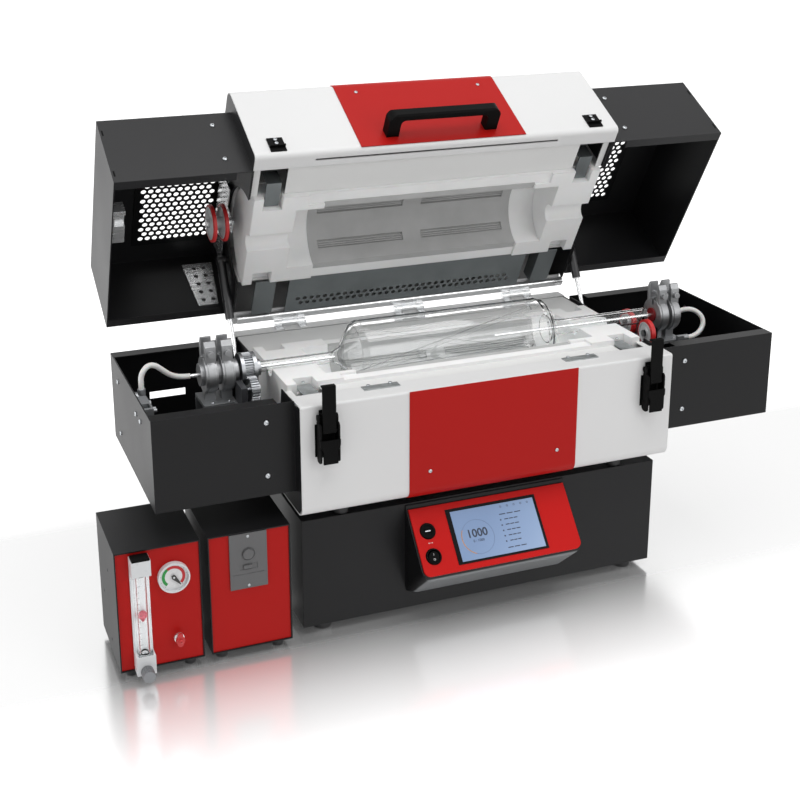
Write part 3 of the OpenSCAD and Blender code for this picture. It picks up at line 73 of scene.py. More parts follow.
def colour(code):
    """A paint's colour, from its six letters, as a shader takes it."""
    parts = [int(code[i:i + 2], 16) / 255 for i in (0, 2, 4)]
    return (*(p / 12.92 if p <= 0.04045 else ((p + 0.055) / 1.055) ** 2.4 for p in parts), 1)


class Socket:
    """What comes out of one node of a finish. Sums on it add Maths nodes."""

    def __init__(self, finish, node, output=0):
        self.finish, self.source, self.socket = finish, node, node.outputs[output]

    def __getitem__(self, output):
        return Socket(self.finish, self.source, output)

    def maths(self, operation, first, second):
        return self.finish.node("ShaderNodeMath", {"operation": operation}, {0: first, 1: second})

    def __add__(self, other):
        return self.maths("ADD", self, other)

    def __sub__(self, other):
        return self.maths("SUBTRACT", self, other)

    def __rsub__(self, other):
        return self.maths("SUBTRACT", other, self)

    def __mul__(self, other):
        return self.maths("MULTIPLY", self, other)

    def __pow__(self, other):
        return self.maths("POWER", self, other)

    def __lt__(self, other):
        return self.maths("LESS_THAN", self, other)

    __radd__, __rmul__ = __add__, __mul__


class Finish:
    """A finish with its own nodes. The fixed values stand on the shader's own sockets."""

    def __init__(self, name, **fixed):
        self.material = bpy.data.materials.new(name)
        self.material.use_nodes = True
        self.tree = self.material.node_tree
        self.shader = self.tree.nodes["Principled BSDF"]
        for socket, value in fixed.items():
            self.shader.inputs[socket.replace("_", " ").title().replace("Ior", "IOR")].default_value = value
        self.spot = self.node("ShaderNodeTexCoord")["Object"]

    def node(self, kind, settings=None, sockets=None):
        """Adds a node, sets it up, then fills its sockets with values or links."""
        made = self.tree.nodes.new(kind)
        for key, value in (settings or {}).items():
            if key == "stops":
                ramp = made.color_ramp.elements
                while len(ramp) < len(value):
                    ramp.new(0.5)
                for stop, (at, tint) in zip(ramp, value):
                    stop.position, stop.color = at, tint
            else:
                setattr(made, key, value)
        for key, value in (sockets or {}).items():
            self.fill(made.inputs[key], value)
        return Socket(self, made)

    def fill(self, socket, value):
        if isinstance(value, Socket):
            self.tree.links.new(value.socket, socket)
        else:
            socket.default_value = value

    def surface(self, **sockets):
        """Links what varies over the surface to the shader."""
        for name, value in sockets.items():
            self.fill(self.shader.inputs[name.replace("_", " ")], value)

    def noise(self, scale, detail, stretch=None):
        """A cloudy pattern, drawn out along an axis where that axis is scaled down."""
        spot = self.spot
        if stretch:
            spot = self.node("ShaderNodeMapping", {}, {"Vector": spot, "Scale": stretch})
        return self.node("ShaderNodeTexNoise", {}, {"Vector": spot, "Scale": scale, "Detail": detail})

    def mix(self, share, first, second):
        return self.node("ShaderNodeMix", {"data_type": "RGBA"}, {0: share, 6: first, 7: second})[2]

    def ramp(self, share, *stops):
        return self.node("ShaderNodeValToRGB", {"stops": stops}, {"Fac": share})

    def step(self, value, low, high):
        """Goes from 0 to 1 as the value goes from low to high."""
        return self.node("ShaderNodeMapRange", {}, {"Value": value, "From Min": low, "From Max": high})

    def dot(self, first, second):
        return self.node("ShaderNodeVectorMath", {"operation": "DOT_PRODUCT"}, {0: first, 1: second})["Value"]

    def round_edges(self, radius):
        """The surface's direction with its edges rounded, and how much each place is an edge."""
        soft = self.node("ShaderNodeBevel", {"samples": 4}, {"Radius": radius})
        true = self.node("ShaderNodeNewGeometry")["Normal"]
        return soft, self.step(self.dot(soft, true), 0.995, 0.75)

    def bump(self, height, depth, strength, under=None):
        sockets = {"Height": height, "Distance": depth, "Strength": strength}
        if under is not None:
            sockets["Normal"] = under
        return self.node("ShaderNodeBump", {}, sockets)

    def dress(self, *nodes):
        """Gives the finish to CAD nodes."""
        for name in nodes:
            worn = frame["nodes"][name].data.materials
            worn.clear()
            worn.append(self.material)


silicone = Finish("hose_silicone", base_color=colour("dcdcda"), roughness=0.42, subsurface_weight=0.15,
                  subsurface_scale=0.004, coat_roughness=0.3)
fog = silicone.noise(40, 3)
silicone.surface(Base_Color=silicone.mix(fog, colour("d2d2cf"), colour("e6e6e4")), Roughness=fog * 0.2 + 0.32,
                 Normal=silicone.bump(silicone.noise(900, 2), 0.0001, 0.4))
HOSE_RADIUS = 0.0045
routes = {
    "gas_hose": [(-546, -30, 416), (-546, -30, 426), (-545, -29, 436), (-540, -28, 446), (-531, -26, 452),
                 (-521, -24, 450), (-512, -22, 443), (-503, -20, 435), (-494, -17, 428), (-483, -14, 423),
                 (-472, -12, 420.5), (-462, -12, 420)],
    "outlet_hose": [(466, -12, 420), (476, -13, 421), (486, -16, 423), (497, -20, 422), (506, -25, 417),
                    (512, -30, 409), (513, -34, 400), (509, -37, 391), (501, -40, 384), (492, -42, 380),
                    (482, -43, 378), (474, -43, 378)],
}
for node, points in routes.items():
    points = [place(*p) for p in points]
    line = bpy.data.curves.new(node + "_tube", "CURVE")
    line.dimensions, line.bevel_depth, line.bevel_resolution = "3D", HOSE_RADIUS, 7
    line.resolution_u, line.use_fill_caps = 8, True
    way = line.splines.new("BEZIER")
    way.bezier_points.add(len(points) - 1)
    for knot, point in zip(way.bezier_points, points):
        knot.co, knot.handle_left_type, knot.handle_right_type = point, "AUTO", "AUTO"
    hose = bpy.data.objects.new(node + "_tube", line)
    scene.collection.objects.link(hose)
    line.materials.append(silicone.material)
    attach(hose, "furnace")
    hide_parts(node)


# The base cabinet, folded from steel sheet and powder-coated black, a little polished on its folds, with
# button-head screws at its back. It and both modules stand on four rubber feet each, and four more
# carry the furnace.
def powder_coat(name, shade, worn, roughness, edge=0.0010, **fixed):
    """Baked powder paint: fine orange peel, slow changes of tone, rounded and rubbed edges."""
    coat = Finish(name, base_color=colour(shade), roughness=roughness, **fixed)
    soft, rubbed = coat.round_edges(edge)
    cloud = coat.noise(5, 4)
    tone = coat.mix(cloud * 0.55 + rubbed * 0.35, colour(shade), colour(worn))
    coat.surface(Base_Color=tone, Roughness=cloud * 0.12 + roughness - 0.06 - rubbed * 0.1,
                 Normal=coat.bump(coat.noise(1100, 3), 0.00012, 0.5, soft))
    return coat


black_coat = powder_coat("black_paint", "0e0e0f", "18181a", 0.42, specular_ior_level=0.18)
black_coat.dress("base_case", "lower_boxes", "module_cases")
rubber = Finish("foot_rubber", base_color=colour("1d1d1e"), roughness=0.75)
dust = rubber.noise(60, 4)
rubber.surface(Base_Color=rubber.mix(dust, colour("171718"), colour("39393a")),
               Normal=rubber.bump(rubber.noise(1500, 2), 0.0002, 0.6, rubber.round_edges(0.002)[0]))
rubber.dress("feet")


def hold(*pieces):
    """Selects these pieces and nothing else, with the first one active."""
    bpy.ops.object.select_all(action="DESELECT")
    for piece in pieces:
        piece.select_set(True)
    bpy.context.view_layer.objects.active = pieces[0]


def edit(piece):
    """Opens a piece for editing, with nothing selected."""
    hold(piece)
    bpy.ops.object.mode_set(mode="EDIT")
    bpy.ops.mesh.select_mode(type="FACE")
    bpy.ops.mesh.select_all(action="DESELECT")


def pick(piece, wanted):
    """Selects the faces whose middle and direction are wanted."""
    shape = bmesh.from_edit_mesh(piece.data)
    for face in shape.faces:
        face.select_set(bool(wanted(face.calc_center_median(), face.normal)))
    bmesh.update_edit_mesh(piece.data)


def closed():
    """Closes the piece that is open for editing."""
    bpy.ops.object.mode_set(mode="OBJECT")


def screw_head(size):
    """A button head of this radius on the origin: a rim, a dome over it and a hexagon socket."""
    rim, socket, socket_depth = 0.3 * size, 0.36 * size, 0.35 * size
    bpy.ops.object.select_all(action="DESELECT")
    bpy.ops.mesh.primitive_cylinder_add(vertices=24, radius=size, depth=rim, location=(0, 0, rim / 2))
    head = bpy.context.object
    bpy.ops.object.transform_apply(location=True)
    edit(head)
    pick(head, lambda middle, normal: normal.z > 0.9)
    # the dome in two steps, then the socket's mouth, which is drawn out to a hexagon and sunk
    for inset, rise in ((0.22, 0.2), (0.24, 0.1), (0.05, 0.0)):
        bpy.ops.mesh.inset(thickness=inset * size, depth=rise * size)
    shape = bmesh.from_edit_mesh(head.data)
    for corner in [v for f in shape.faces if f.select for v in f.verts]:
        around = math.atan2(corner.co.y, corner.co.x) % (math.pi / 3) - math.pi / 6
        corner.co.xy = corner.co.xy.normalized() * (socket / math.cos(around))
    bmesh.update_edit_mesh(head.data)
    bpy.ops.mesh.inset(thickness=0.02 * size, depth=-socket_depth)
    closed()
    return head


def joined(pieces):
    """Makes one piece of several."""
    hold(*pieces)
    bpy.ops.object.join()
    return pieces[0]


def done(piece, name, finish, body):
    """Puts a finished piece's place in its mesh, and gives it its name, finish and body."""
    hold(piece)
    bpy.ops.object.transform_apply(location=True, rotation=True, scale=True)
    piece.name = piece.data.name = name
    piece.data.materials.clear()
    piece.data.materials.append(finish.material)
    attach(piece, body)


def fasten(name, body, finish, model, spots):
    """Puts a copy of a model at each spot, standing along its direction, and joins them as one piece."""
    copies = []
    for spot, direction in spots:
        copy = model.copy()
        copy.data = model.data.copy()
        scene.collection.objects.link(copy)
        facing = Vector(direction).to_track_quat("Z", "Y").to_matrix().to_4x4()
        copy.matrix_world = Matrix.Translation(spot) @ facing
        copies.append(copy)
    bpy.context.view_layer.update()
    done(joined(copies), name, finish, body)


zinc = Finish("screw_zinc", base_color=colour("a8abae"), metallic=1.0, roughness=0.3)
grime = zinc.noise(300, 3)
zinc.surface(Base_Color=zinc.mix(grime, colour("8e9194"), colour("c2c5c8")), Roughness=grime * 0.25 + 0.2)
FRONT, LEFT, RIGHT, BACK, UP = (0, -1, 0), (-1, 0, 0), (1, 0, 0), (0, 1, 0), (0, 0, 1)
tiny_head, small_head, cap_head, wide_head = (screw_head(size) for size in (0.0024, 0.0032, 0.0037, 0.0042))
CABINET_BACK = 195
fasten("base_screws", "furnace", zinc, small_head,
       [(place(x, CABINET_BACK, z), BACK) for x in (-300, -110, 110, 300) for z in (36, 196)])

# The console on the cabinet's front: a moulded black housing with a painted highlight on the lip at its
# foot, under a red printed film, with a colour screen, a data socket behind a flush ring, and a round rocker
# switch.
dark_moulding = Finish("dark_moulding", base_color=colour("0b0b0c"), roughness=0.34, specular_ior_level=0.2)
soft = dark_moulding.round_edges(0.0025)[0]
FASCIA_LEAN, FASCIA_TOP = math.radians(49), place(0, -181, 198.7)
LIP_HIGHLIGHT_START, LIP_HIGHLIGHT_END = 0.1168, 0.1182  # how far down the slope from the fascia's top the painted highlight on the lip fades in
up_slope = Vector((0, math.cos(FASCIA_LEAN), math.sin(FASCIA_LEAN)))
slope_top = up_slope.dot(FASCIA_TOP)
climb = dark_moulding.dot(dark_moulding.spot, up_slope)
# painted highlight: below this on the slope the black housing turns pale grey, for the light its lip catches
lip = dark_moulding.step(climb, slope_top - LIP_HIGHLIGHT_START, slope_top - LIP_HIGHLIGHT_END)
shell_with_lip_highlight = dark_moulding.mix(lip, colour("070708"), colour("7c7e80"))
shell_cloud = dark_moulding.noise(8, 3)
dark_moulding.surface(Base_Color=dark_moulding.mix(shell_cloud * 0.1, shell_with_lip_highlight, colour("2a2b2d")),
                      Roughness=0.3 + dark_moulding.noise(30, 3) * 0.12,
                      Normal=dark_moulding.bump(dark_moulding.noise(1600, 2), 0.0001, 0.5, soft))
dark_moulding.dress("control_housing")
film = Finish("fascia_red", base_color=colour("c21715"), roughness=0.32, specular_ior_level=0.1)
sheen = film.noise(4, 3)
film.surface(Base_Color=film.mix(sheen, colour("bd1412"), colour("c81a18")), Roughness=sheen * 0.1 + 0.28,
             Normal=film.bump(film.noise(2500, 2), 0.00005, 0.5, film.round_edges(0.0008)[0]))
film.dress("control_fascia")
bezel_black = Finish("display_glass", base_color=colour("0b0b0d"), roughness=0.18, specular_ior_level=0.12)
bezel_black.surface(Roughness=bezel_black.noise(25, 4) * 0.15 + 0.1,
                    Normal=bezel_black.round_edges(0.0006)[0])
bezel_black.dress("display")
black_moulding = Finish("black_moulding", base_color=colour("030303"), roughness=0.5, specular_ior_level=0.06)
mottle = black_moulding.noise(30, 4)
black_moulding.surface(Base_Color=black_moulding.mix(mottle, colour("020202"), colour("080808")),
                       Normal=black_moulding.bump(black_moulding.noise(1800, 2), 0.0001, 0.5,
                                                  black_moulding.round_edges(0.0008)[0]))
black_moulding.dress("power_fittings", "power_rocker")
on_fascia = Matrix.Translation(FASCIA_TOP) @ Matrix.Rotation(FASCIA_LEAN, 4, "X")


def seat(piece, matrix):
    """Moves a piece from the workbench to its seat."""
    bpy.context.view_layer.update()
    piece.matrix_world = matrix @ piece.matrix_world
    return piece


def apply(piece, kind, **settings):
    """Adds a modifier and applies it."""
    made = piece.modifiers.new(kind.title(), kind)
    for key, value in settings.items():
        setattr(made, key, value)
    hold(piece)
    bpy.ops.object.modifier_apply(modifier=made.name)


def slab(low, high, edge=0.0, segments=2):
    """A block between two corners, in metres, with its edges eased."""
    low, high = Vector(low), Vector(high)
    bpy.ops.object.select_all(action="DESELECT")
    bpy.ops.mesh.primitive_cube_add(size=1, location=(low + high) / 2, scale=high - low)
    piece = bpy.context.object
    bpy.ops.object.transform_apply(location=True, rotation=True, scale=True)
    if edge:
        apply(piece, "BEVEL", width=edge, segments=segments, limit_method="NONE")
    return piece


def flat_ring(inner, outer, sweep=(0, 360), sides=72, thick=0.0002):
    """A flat ring, or a part of one, lying on the origin. Angles go round from +X."""
    bpy.ops.object.select_all(action="DESELECT")
    bpy.ops.mesh.primitive_circle_add(vertices=sides, radius=inner)
    ring = bpy.context.object
    bpy.ops.object.mode_set(mode="EDIT")
    bpy.ops.mesh.select_all(action="SELECT")
    bpy.ops.mesh.extrude_edges_move()
    bpy.ops.transform.resize(value=(outer / inner, outer / inner, 1), center_override=(0, 0, 0))
    bpy.ops.mesh.select_mode(type="FACE")
    start, end = sweep
    pick(ring, lambda middle, normal:
         (math.degrees(math.atan2(middle.y, middle.x)) - start) % 360 > end - start)
    bpy.ops.mesh.delete(type="FACE")
    bpy.ops.mesh.select_all(action="SELECT")
    shape = bmesh.from_edit_mesh(ring.data)
    if sum(face.normal.z for face in shape.faces) < 0:
        bpy.ops.mesh.flip_normals()
    closed()
    apply(ring, "SOLIDIFY", thickness=thick, offset=1)
    return ring


def lettering(words, size, at, thick=0.00012, bold=0.012):
    """Figures lying on the origin's plane, centred on a point."""
    bpy.ops.object.select_all(action="DESELECT")
    bpy.ops.object.text_add(location=at)
    text = bpy.context.object
    text.data.body, text.data.size, text.data.extrude = words, size, thick
    text.data.align_x, text.data.align_y, text.data.offset = "CENTER", "CENTER", size * bold
    bpy.ops.object.convert(target="MESH")
    text = bpy.context.object
    edit(text)
    bpy.ops.mesh.select_all(action="SELECT")
    bpy.ops.mesh.remove_doubles(threshold=0.00001)
    closed()
    return text


def ink(name, code, glow=0.0):
    """Printing ink, or a lit part of a screen."""
    full = colour(code)
    thin = (*(part * 0.85 for part in full[:3]), 1)
    made = Finish(name, base_color=full, roughness=0.5, emission_color=full, emission_strength=glow)
    made.surface(Base_Color=made.mix(made.noise(400, 2), full, thin))
    return made


lit = Finish("screen_light", base_color=colour("20304a"), roughness=0.16, coat_weight=0.4,
             coat_roughness=0.06, emission_strength=0.3)
across = lit.dot(lit.spot, (1, 0, -1))
glow = lit.ramp(lit.step(across, -0.15, 0.02),
                (0.0, colour("84a0c8")), (0.6, colour("97b2d8")), (1.0, colour("a9c2e4")))
lit.surface(Emission_Color=glow, Base_Color=lit.mix(0.5, colour("2a3a58"), glow))
SCREEN_CORNER, SCREEN_SIZE = Vector((-74.5, -101.5)), Vector((154.1, 85.9))  # in millimetres
UNDERSIDE, LAYER, MARGIN = 0.00042, 0.0006, 0.0003  # the picture's underside, face and margin
low, high = SCREEN_CORNER / 1000, (SCREEN_CORNER + SCREEN_SIZE) / 1000
picture = slab((low.x + MARGIN, low.y + MARGIN, UNDERSIDE),
               (high.x - MARGIN, high.y - MARGIN, LAYER), 0.00005, 1)
done(seat(picture, on_fascia), "screen_picture", lit, "furnace")
figures, thin_line = ink("screen_figures", "1d2a40"), ink("screen_line", "54678a")
amber = ink("screen_amber", "c98a2c", 0.25)
DIAL = Vector((low.x + 0.0385, low.y + 0.037))
for name, words, size, rise, bold in (("screen_reading", "1000", 0.0190, 0.006, 0.022),
                                      ("screen_target", "0 : 1000", 0.0062, -0.0065, 0.012)):
    reading = lettering(words, size, (DIAL.x, DIAL.y + rise, LAYER), bold=bold)
    done(seat(reading, on_fascia), name, figures, "furnace")
for name, finish, inner, outer, sweep in (("screen_ring", thin_line, 0.0288, 0.0292, (0, 360)),
                                          ("screen_arc", amber, 0.0284, 0.0296, (150, 250))):
    ring = flat_ring(inner, outer, sweep)
    ring.location = (DIAL.x, DIAL.y, LAYER)
    done(seat(ring, on_fascia), name, finish, "furnace")
# beside the dial, rows of three dashes, each with its start and its length, with a bullet before each
# row but the first and the last, and five small rings above them
ROWS = [(0.086, 0.042), (0.093, 0.026), (0.093, 0.026), (0.093, 0.026), (0.093, 0.024), (0.093, 0.022),
        (0.086, 0.036)]
LAST_ROW, FIRST_ROW_Y, ROW_PITCH, LAST_ROW_GAP = len(ROWS) - 1, 0.066, 0.0092, 0.002
DASHES, DASH_SHARE, DASH_HEIGHT, PRINT = 3, 0.82, 0.0016, 0.0001
RINGS, RING_X, RING_Y, RING_PITCH = 5, 0.092, 0.0795, 0.0125
bars = []
for row, (start, length) in enumerate(ROWS):
    x = low.x + start
    y = low.y + FIRST_ROW_Y - row * ROW_PITCH - (LAST_ROW_GAP if row == LAST_ROW else 0)
    pitch = length / DASHES
    for dash in range(DASHES):
        bars.append(slab((x + dash * pitch, y, LAYER),
                         (x + (dash + DASH_SHARE) * pitch, y + DASH_HEIGHT, LAYER + PRINT), 0.00003, 1))
    if 0 < row < LAST_ROW:
        bars.append(slab((x - 0.008, y - 0.0006, LAYER), (x - 0.0055, y + 0.0018, LAYER + PRINT), 0.0004, 1))
for column in range(RINGS):
    mark = flat_ring(0.0011, 0.0017, sides=20, thick=PRINT)
    mark.location = (low.x + RING_X + column * RING_PITCH, low.y + RING_Y, LAYER)
    bars.append(mark)
done(seat(joined(bars), on_fascia), "screen_rows", figures, "furnace")
# the data socket's tongue stands in its mouth, 0.8 mm clear of its housing
tongue = slab((-0.1251, -0.0416, -0.006), (-0.1157, -0.0392, 0.0012), 0.0003)
contact = Finish("bright_contact", base_color=colour("b9bcc0"), metallic=1.0, roughness=0.22)
contact.surface(Roughness=contact.noise(200, 3) * 0.2 + 0.15)
done(seat(tongue, on_fascia), "socket_tongue", contact, "furnace")
rocker_print = ink("rocker_print", "d8d8d8")
# each half of the rocker slopes down to its middle, and the rocker rests tipped to one side
ROCKER_SPOT, ROCKER_TIP, HALF_SLOPE = (-0.1213, -0.0834, -0.006), math.radians(8), math.radians(5)
on_rocker = on_fascia @ Matrix.Translation(ROCKER_SPOT) @ Matrix.Rotation(ROCKER_TIP, 4, "X")
for words, side in (("I", 1), ("O", -1)):
    sloped = on_rocker @ Matrix.Rotation(HALF_SLOPE * side, 4, "X")
    face = sloped @ Matrix.Translation((0, 0.0048 * side, 0.0076))
    mark = lettering(words, 0.0050, (0, 0, 0), 0.0001)
    done(seat(mark, face), "rocker_mark_" + words, rocker_print, "rocker")
# the socket's printed mark: a line between two dots, each at a place and of a width and height
strokes = ((-0.1230, -0.0608, 0.0050, 0.0005), (-0.1244, -0.0614, 0.0016, 0.0016),
           (-0.1182, -0.0613, 0.0014, 0.0014))
printed = [slab((x, y, 0), (x + w, y + h, 0.00015), 0.00005, 1) for x, y, w, h in strokes]
done(seat(joined(printed), on_fascia), "socket_mark", rocker_print, "furnace")

# The furnace body: folded sheet with a smooth pale grey coat, and a red cover plate over its middle.
# The ends carry open boxes of black sheet for the fittings. Button-head screws hold plate and boxes.
white_coat = powder_coat("white_paint", "dcdcdc", "d4d4d4", 0.38, 0.0013, specular_ior_level=0.3)
white_coat.dress("lower_shell", "upper_shell")
red_coat = powder_coat("red_paint", "a81310", "b01a16", 0.4, 0.0010, specular_ior_level=0.12)
red_coat.dress("lower_red_band", "upper_red_band", "module_panels")
BAND_FRONT, BAND_SCREW_X = -206.5, 116
BOX_FRONT, BOX_BACK, BOX_SCREW_Z, LEFT_WALL = -175, 158, (298, 388), -562
SUNK_RIGHT = 559.4  # 2.6 mm inside the right wall's face, so that the heads don't widen the furnace
fasten("band_screws", "furnace", zinc, small_head,
       [(place(s * BAND_SCREW_X, BAND_FRONT, 275), FRONT) for s in (-1, 1)])
fasten("box_screws", "furnace", zinc, wide_head,
       [(place(s * 381, BOX_FRONT, z), FRONT) for s in (-1, 1) for z in BOX_SCREW_Z]
       + [(place(LEFT_WALL, y, z), LEFT) for y, z in ((-92, 386), (-58, 386), (96, 292), (96, 386))]
       + [(place(SUNK_RIGHT, y, z), RIGHT) for y, z in ((-92, 386), (-92, 292), (96, 292), (96, 386))]
       + [(place(s * x, BOX_BACK, z), BACK) for s in (-1, 1) for x in (372, 540) for z in BOX_SCREW_Z])

# The insulation: white ceramic fibre, vacuum-formed in two halves round the grey heater shells,
# soft-edged, faintly fluffy and a bit stained. It sits in a lining of white sheet, with galvanised
# ties below and a dull pierced baffle above.
liner = powder_coat("liner_white", "e0e0df", "d6d6d5", 0.5, 0.0008, specular_ior_level=0.3)
liner.dress("lower_liner", "upper_liner")
fibre = Finish("fibre_board", base_color=colour("eeeeee"), roughness=0.95, specular_ior_level=0.1,
               subsurface_weight=0.06, subsurface_scale=0.003)
soft = fibre.round_edges(0.003)[0]
stain, fluff = fibre.noise(14, 5), fibre.noise(420, 5, (1, 1, 2.5))
fibre.surface(Base_Color=fibre.mix(stain * 0.8, colour("f4f4f4"), colour("e3e3e2")),
              Normal=fibre.bump(fluff, 0.0008, 0.45, soft))
fibre.dress("lower_insulation", "upper_insulation")
heater = Finish("heater_grey", base_color=colour("b4b4b4"), roughness=0.85, specular_ior_level=0.2)
soft = heater.round_edges(0.0015)[0]
scorch = heater.noise(18, 5)
heater.surface(Base_Color=heater.mix(scorch, colour("c0c0c0"), colour("a6a6a5")),
               Normal=heater.bump(heater.noise(600, 4), 0.0005, 0.5, soft))
heater.dress("lower_heater", "upper_heater")
galvanised = Finish("galvanised", base_color=colour("a8acad"), metallic=0.85, roughness=0.42)
spangle = galvanised.node("ShaderNodeTexVoronoi", {"distance": "MANHATTAN"},
                          {"Vector": galvanised.spot, "Scale": 130})["Color"]
leaf = galvanised.node("ShaderNodeSeparateColor", {}, {"Color": spangle})
galvanised.surface(Base_Color=galvanised.mix(leaf, colour("a2a6a7"), colour("b6babb")),
                   Roughness=leaf * 0.1 + 0.36, Normal=galvanised.round_edges(0.0005)[0])
galvanised.dress("tie_brackets")
baffle_sheet = Finish("baffle_sheet", base_color=colour("7c8182"), metallic=0.85, roughness=0.45)
cloudy = baffle_sheet.noise(20, 4)
baffle_sheet.surface(Base_Color=baffle_sheet.mix(cloudy, colour("707577"), colour("8a8f90")),
                     Roughness=cloudy * 0.15 + 0.38, Normal=baffle_sheet.round_edges(0.0005)[0])
baffle_sheet.dress("vent_baffle")
# the heads' heights leave them 5.5 mm clear of the ties' sheet and 0.3 mm clear of the clips
TIE_X, TIE_HEAD_Z, CLIP_HEAD_Z = 293, 413.5, 418.8
fasten("tie_screws", "furnace", zinc, small_head,
       [(place(s * TIE_X, y, TIE_HEAD_Z), UP) for s in (-1, 1) for y in (-92, 72)]
       + [(place(x, -158, CLIP_HEAD_Z), UP) for x in (-205, -167, 158, 196)])

# The hinge: three steel knuckles on the body's back edge and a long bent rail on the lid, in bright
# zinc. The tubes through the glands, the struts' rods and the rollers' plate in the left hood are as bright.
bright = Finish("bright_steel", base_color=colour("e2e3e4"), metallic=0.8, roughness=0.25)
soft = bright.round_edges(0.0006)[0]
drawn = bright.noise(260, 3, (0.06, 1, 1))
bright.surface(Base_Color=bright.mix(drawn, colour("d6d7d9"), colour("eeefef")),
               Roughness=drawn * 0.14 + 0.18, Normal=bright.bump(drawn, 0.00006, 0.3, soft))
bright.dress("hinge_leaves", "hinge_rail", "probe_tubes", "strut_rods", "hood_fittings")

# The latches: black moulded toggles, a lever and a hook on each side of the body, with a thin black plate
# behind them that paints shade into the slit between lever and hook, and keepers riveted to the lid.
black_moulding.dress("latch_bases", "latch_lever_left", "latch_lever_right",
                     "latch_hook_left", "latch_hook_right", "latch_keepers")
LATCH_X, PLATE_HALF = 293, 19
# painted shade: a black sheet on the body behind each latch, so that the slit through it shows dark
slit_shade_plates = [slab(place(x - PLATE_HALF, -205.5, 331), place(x + PLATE_HALF, -204.9, 386), 0.0002)
           for x in (-LATCH_X, LATCH_X)]
done(joined(slit_shade_plates), "latch_slit_shade", black_moulding, "furnace")

# The rotary drive and the glands: cast aluminium clamp rings on short tubes, a turned gear pair and
# a small motor, all on folded steel brackets. Red silicone seals show inside the gland bores, and the
# rollers under and over the vessel have pale hubs in red tyres.
cast = Finish("cast_aluminium", base_color=colour("a2a3a5"), metallic=0.9, roughness=0.42)
soft, rubbed = cast.round_edges(0.0012)
pits = cast.noise(500, 4)
cast.surface(Base_Color=cast.mix(cast.noise(30, 4) * 0.7 + rubbed * 0.3, colour("8c8d8f"), colour("b6b7b8")),
             Roughness=0.34 + pits * 0.2, Normal=cast.bump(pits, 0.0003, 0.4, soft))
cast.dress("clamp_rings", "gland_tubes")
bracket = Finish("bracket_steel", base_color=colour("96989a"), metallic=0.8, roughness=0.4)
bracket.surface(Base_Color=bracket.mix(bracket.noise(12, 4), colour("85878a"), colour("a6a8aa")),
                Roughness=0.4 + bracket.noise(200, 3) * 0.15, Normal=bracket.round_edges(0.0006)[0])
bracket.dress("wall_fittings")
gland_frames = frame["nodes"]["gland_brackets"].copy()
gland_frames.data = gland_frames.data.copy()
scene.collection.objects.link(gland_frames)
edit(gland_frames)
bpy.ops.mesh.select_all(action="SELECT")
bpy.ops.mesh.remove_doubles(threshold=0.000001)
# the plate of the support rollers stands behind them, on the gland's side, with its axles towards the drum
ROLLERS_FROM, ROLLERS_TO, ROLLER_MIDDLE = 0.4, 0.44, 0.4203
pick(gland_frames, lambda middle, normal: ROLLERS_FROM < middle.x < ROLLERS_TO)
bpy.ops.transform.resize(value=(-1, 1, 1), center_override=(ROLLER_MIDDLE, 0, 0))
bpy.ops.mesh.flip_normals()
closed()
done(gland_frames, "gland_frames", bracket, "furnace")
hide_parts("gland_brackets")
fasten("gland_screws", "furnace", zinc, small_head,
       [(place(x, -34, 376), UP) for x in (-431, -403, 424, 449)])
turned_steel = Finish("gear_steel", base_color=colour("a4a6a9"), metallic=1.0, roughness=0.32)
turned_steel.surface(Roughness=turned_steel.noise(300, 3, (6, 1, 1)) * 0.22 + 0.22,
                     Normal=turned_steel.round_edges(0.0003)[0])
turned_steel.dress("vessel_gear", "drive_pinion")
motor_grey = Finish("motor_grey", base_color=colour("3c3d40"), metallic=0.3, roughness=0.45)
motor_grey.surface(Roughness=motor_grey.noise(80, 3) * 0.15 + 0.38, Normal=motor_grey.round_edges(0.0008)[0])
motor_grey.dress("drive_motor")
seal = Finish("seal_red", base_color=colour("741518"), roughness=0.5, specular_ior_level=0.3)
seal.surface(Roughness=seal.noise(200, 3) * 0.2 + 0.35)
seal.dress("gland_seals")
for node, joint, hub_radius in (("support_roller_front", "roller_front_turn", 0.0205),
                                ("support_roller_rear", "roller_rear_turn", 0.0205),
                                ("idler_rollers", "idler_spin", 0.0285)):
    axle = next(row["pos_m"] for row in frame["record"]["behaviour"]["joints"] if row["name"] == joint)
    tyre = Finish(node + "_tyre", base_color=colour("c92a2c"), roughness=0.4)
    spot = tyre.node("ShaderNodeSeparateXYZ", {}, {0: tyre.spot})
    rise, reach = spot["Z"] - axle[2], spot["Y"] - axle[1]
    hub = (rise * rise + reach * reach) ** 0.5 < hub_radius
    tread = tyre.noise(350, 3)
    tyre.surface(Base_Color=tyre.mix(hub, tyre.mix(tread, colour("ba1c1e"), colour("cc2a2c")),
                                     tyre.mix(tread, colour("c9cacb"), colour("dededf"))),
                 Roughness=tread * 0.2 + 0.32)
    tyre.dress(node)

# The reaction vessel: a blown quartz drum with straight strips inside, set aslant as flights, and a
# neck at each end. The quartz is clear, with faint waves along the drum.
WHITE = (1, 1, 1, 1)


def let_light_through(glass, tint):
    """Gives a clear finish a faint shadow of this tint, so that what stands in it is lit."""
    in_shadow = glass.node("ShaderNodeLightPath")["Is Shadow Ray"]
    clear = glass.node("ShaderNodeBsdfTransparent", {}, {"Color": tint})
    blend = glass.node("ShaderNodeMixShader", {}, {0: in_shadow, 1: Socket(glass, glass.shader), 2: clear})
    glass.fill(glass.tree.nodes["Material Output"].inputs["Surface"], blend)


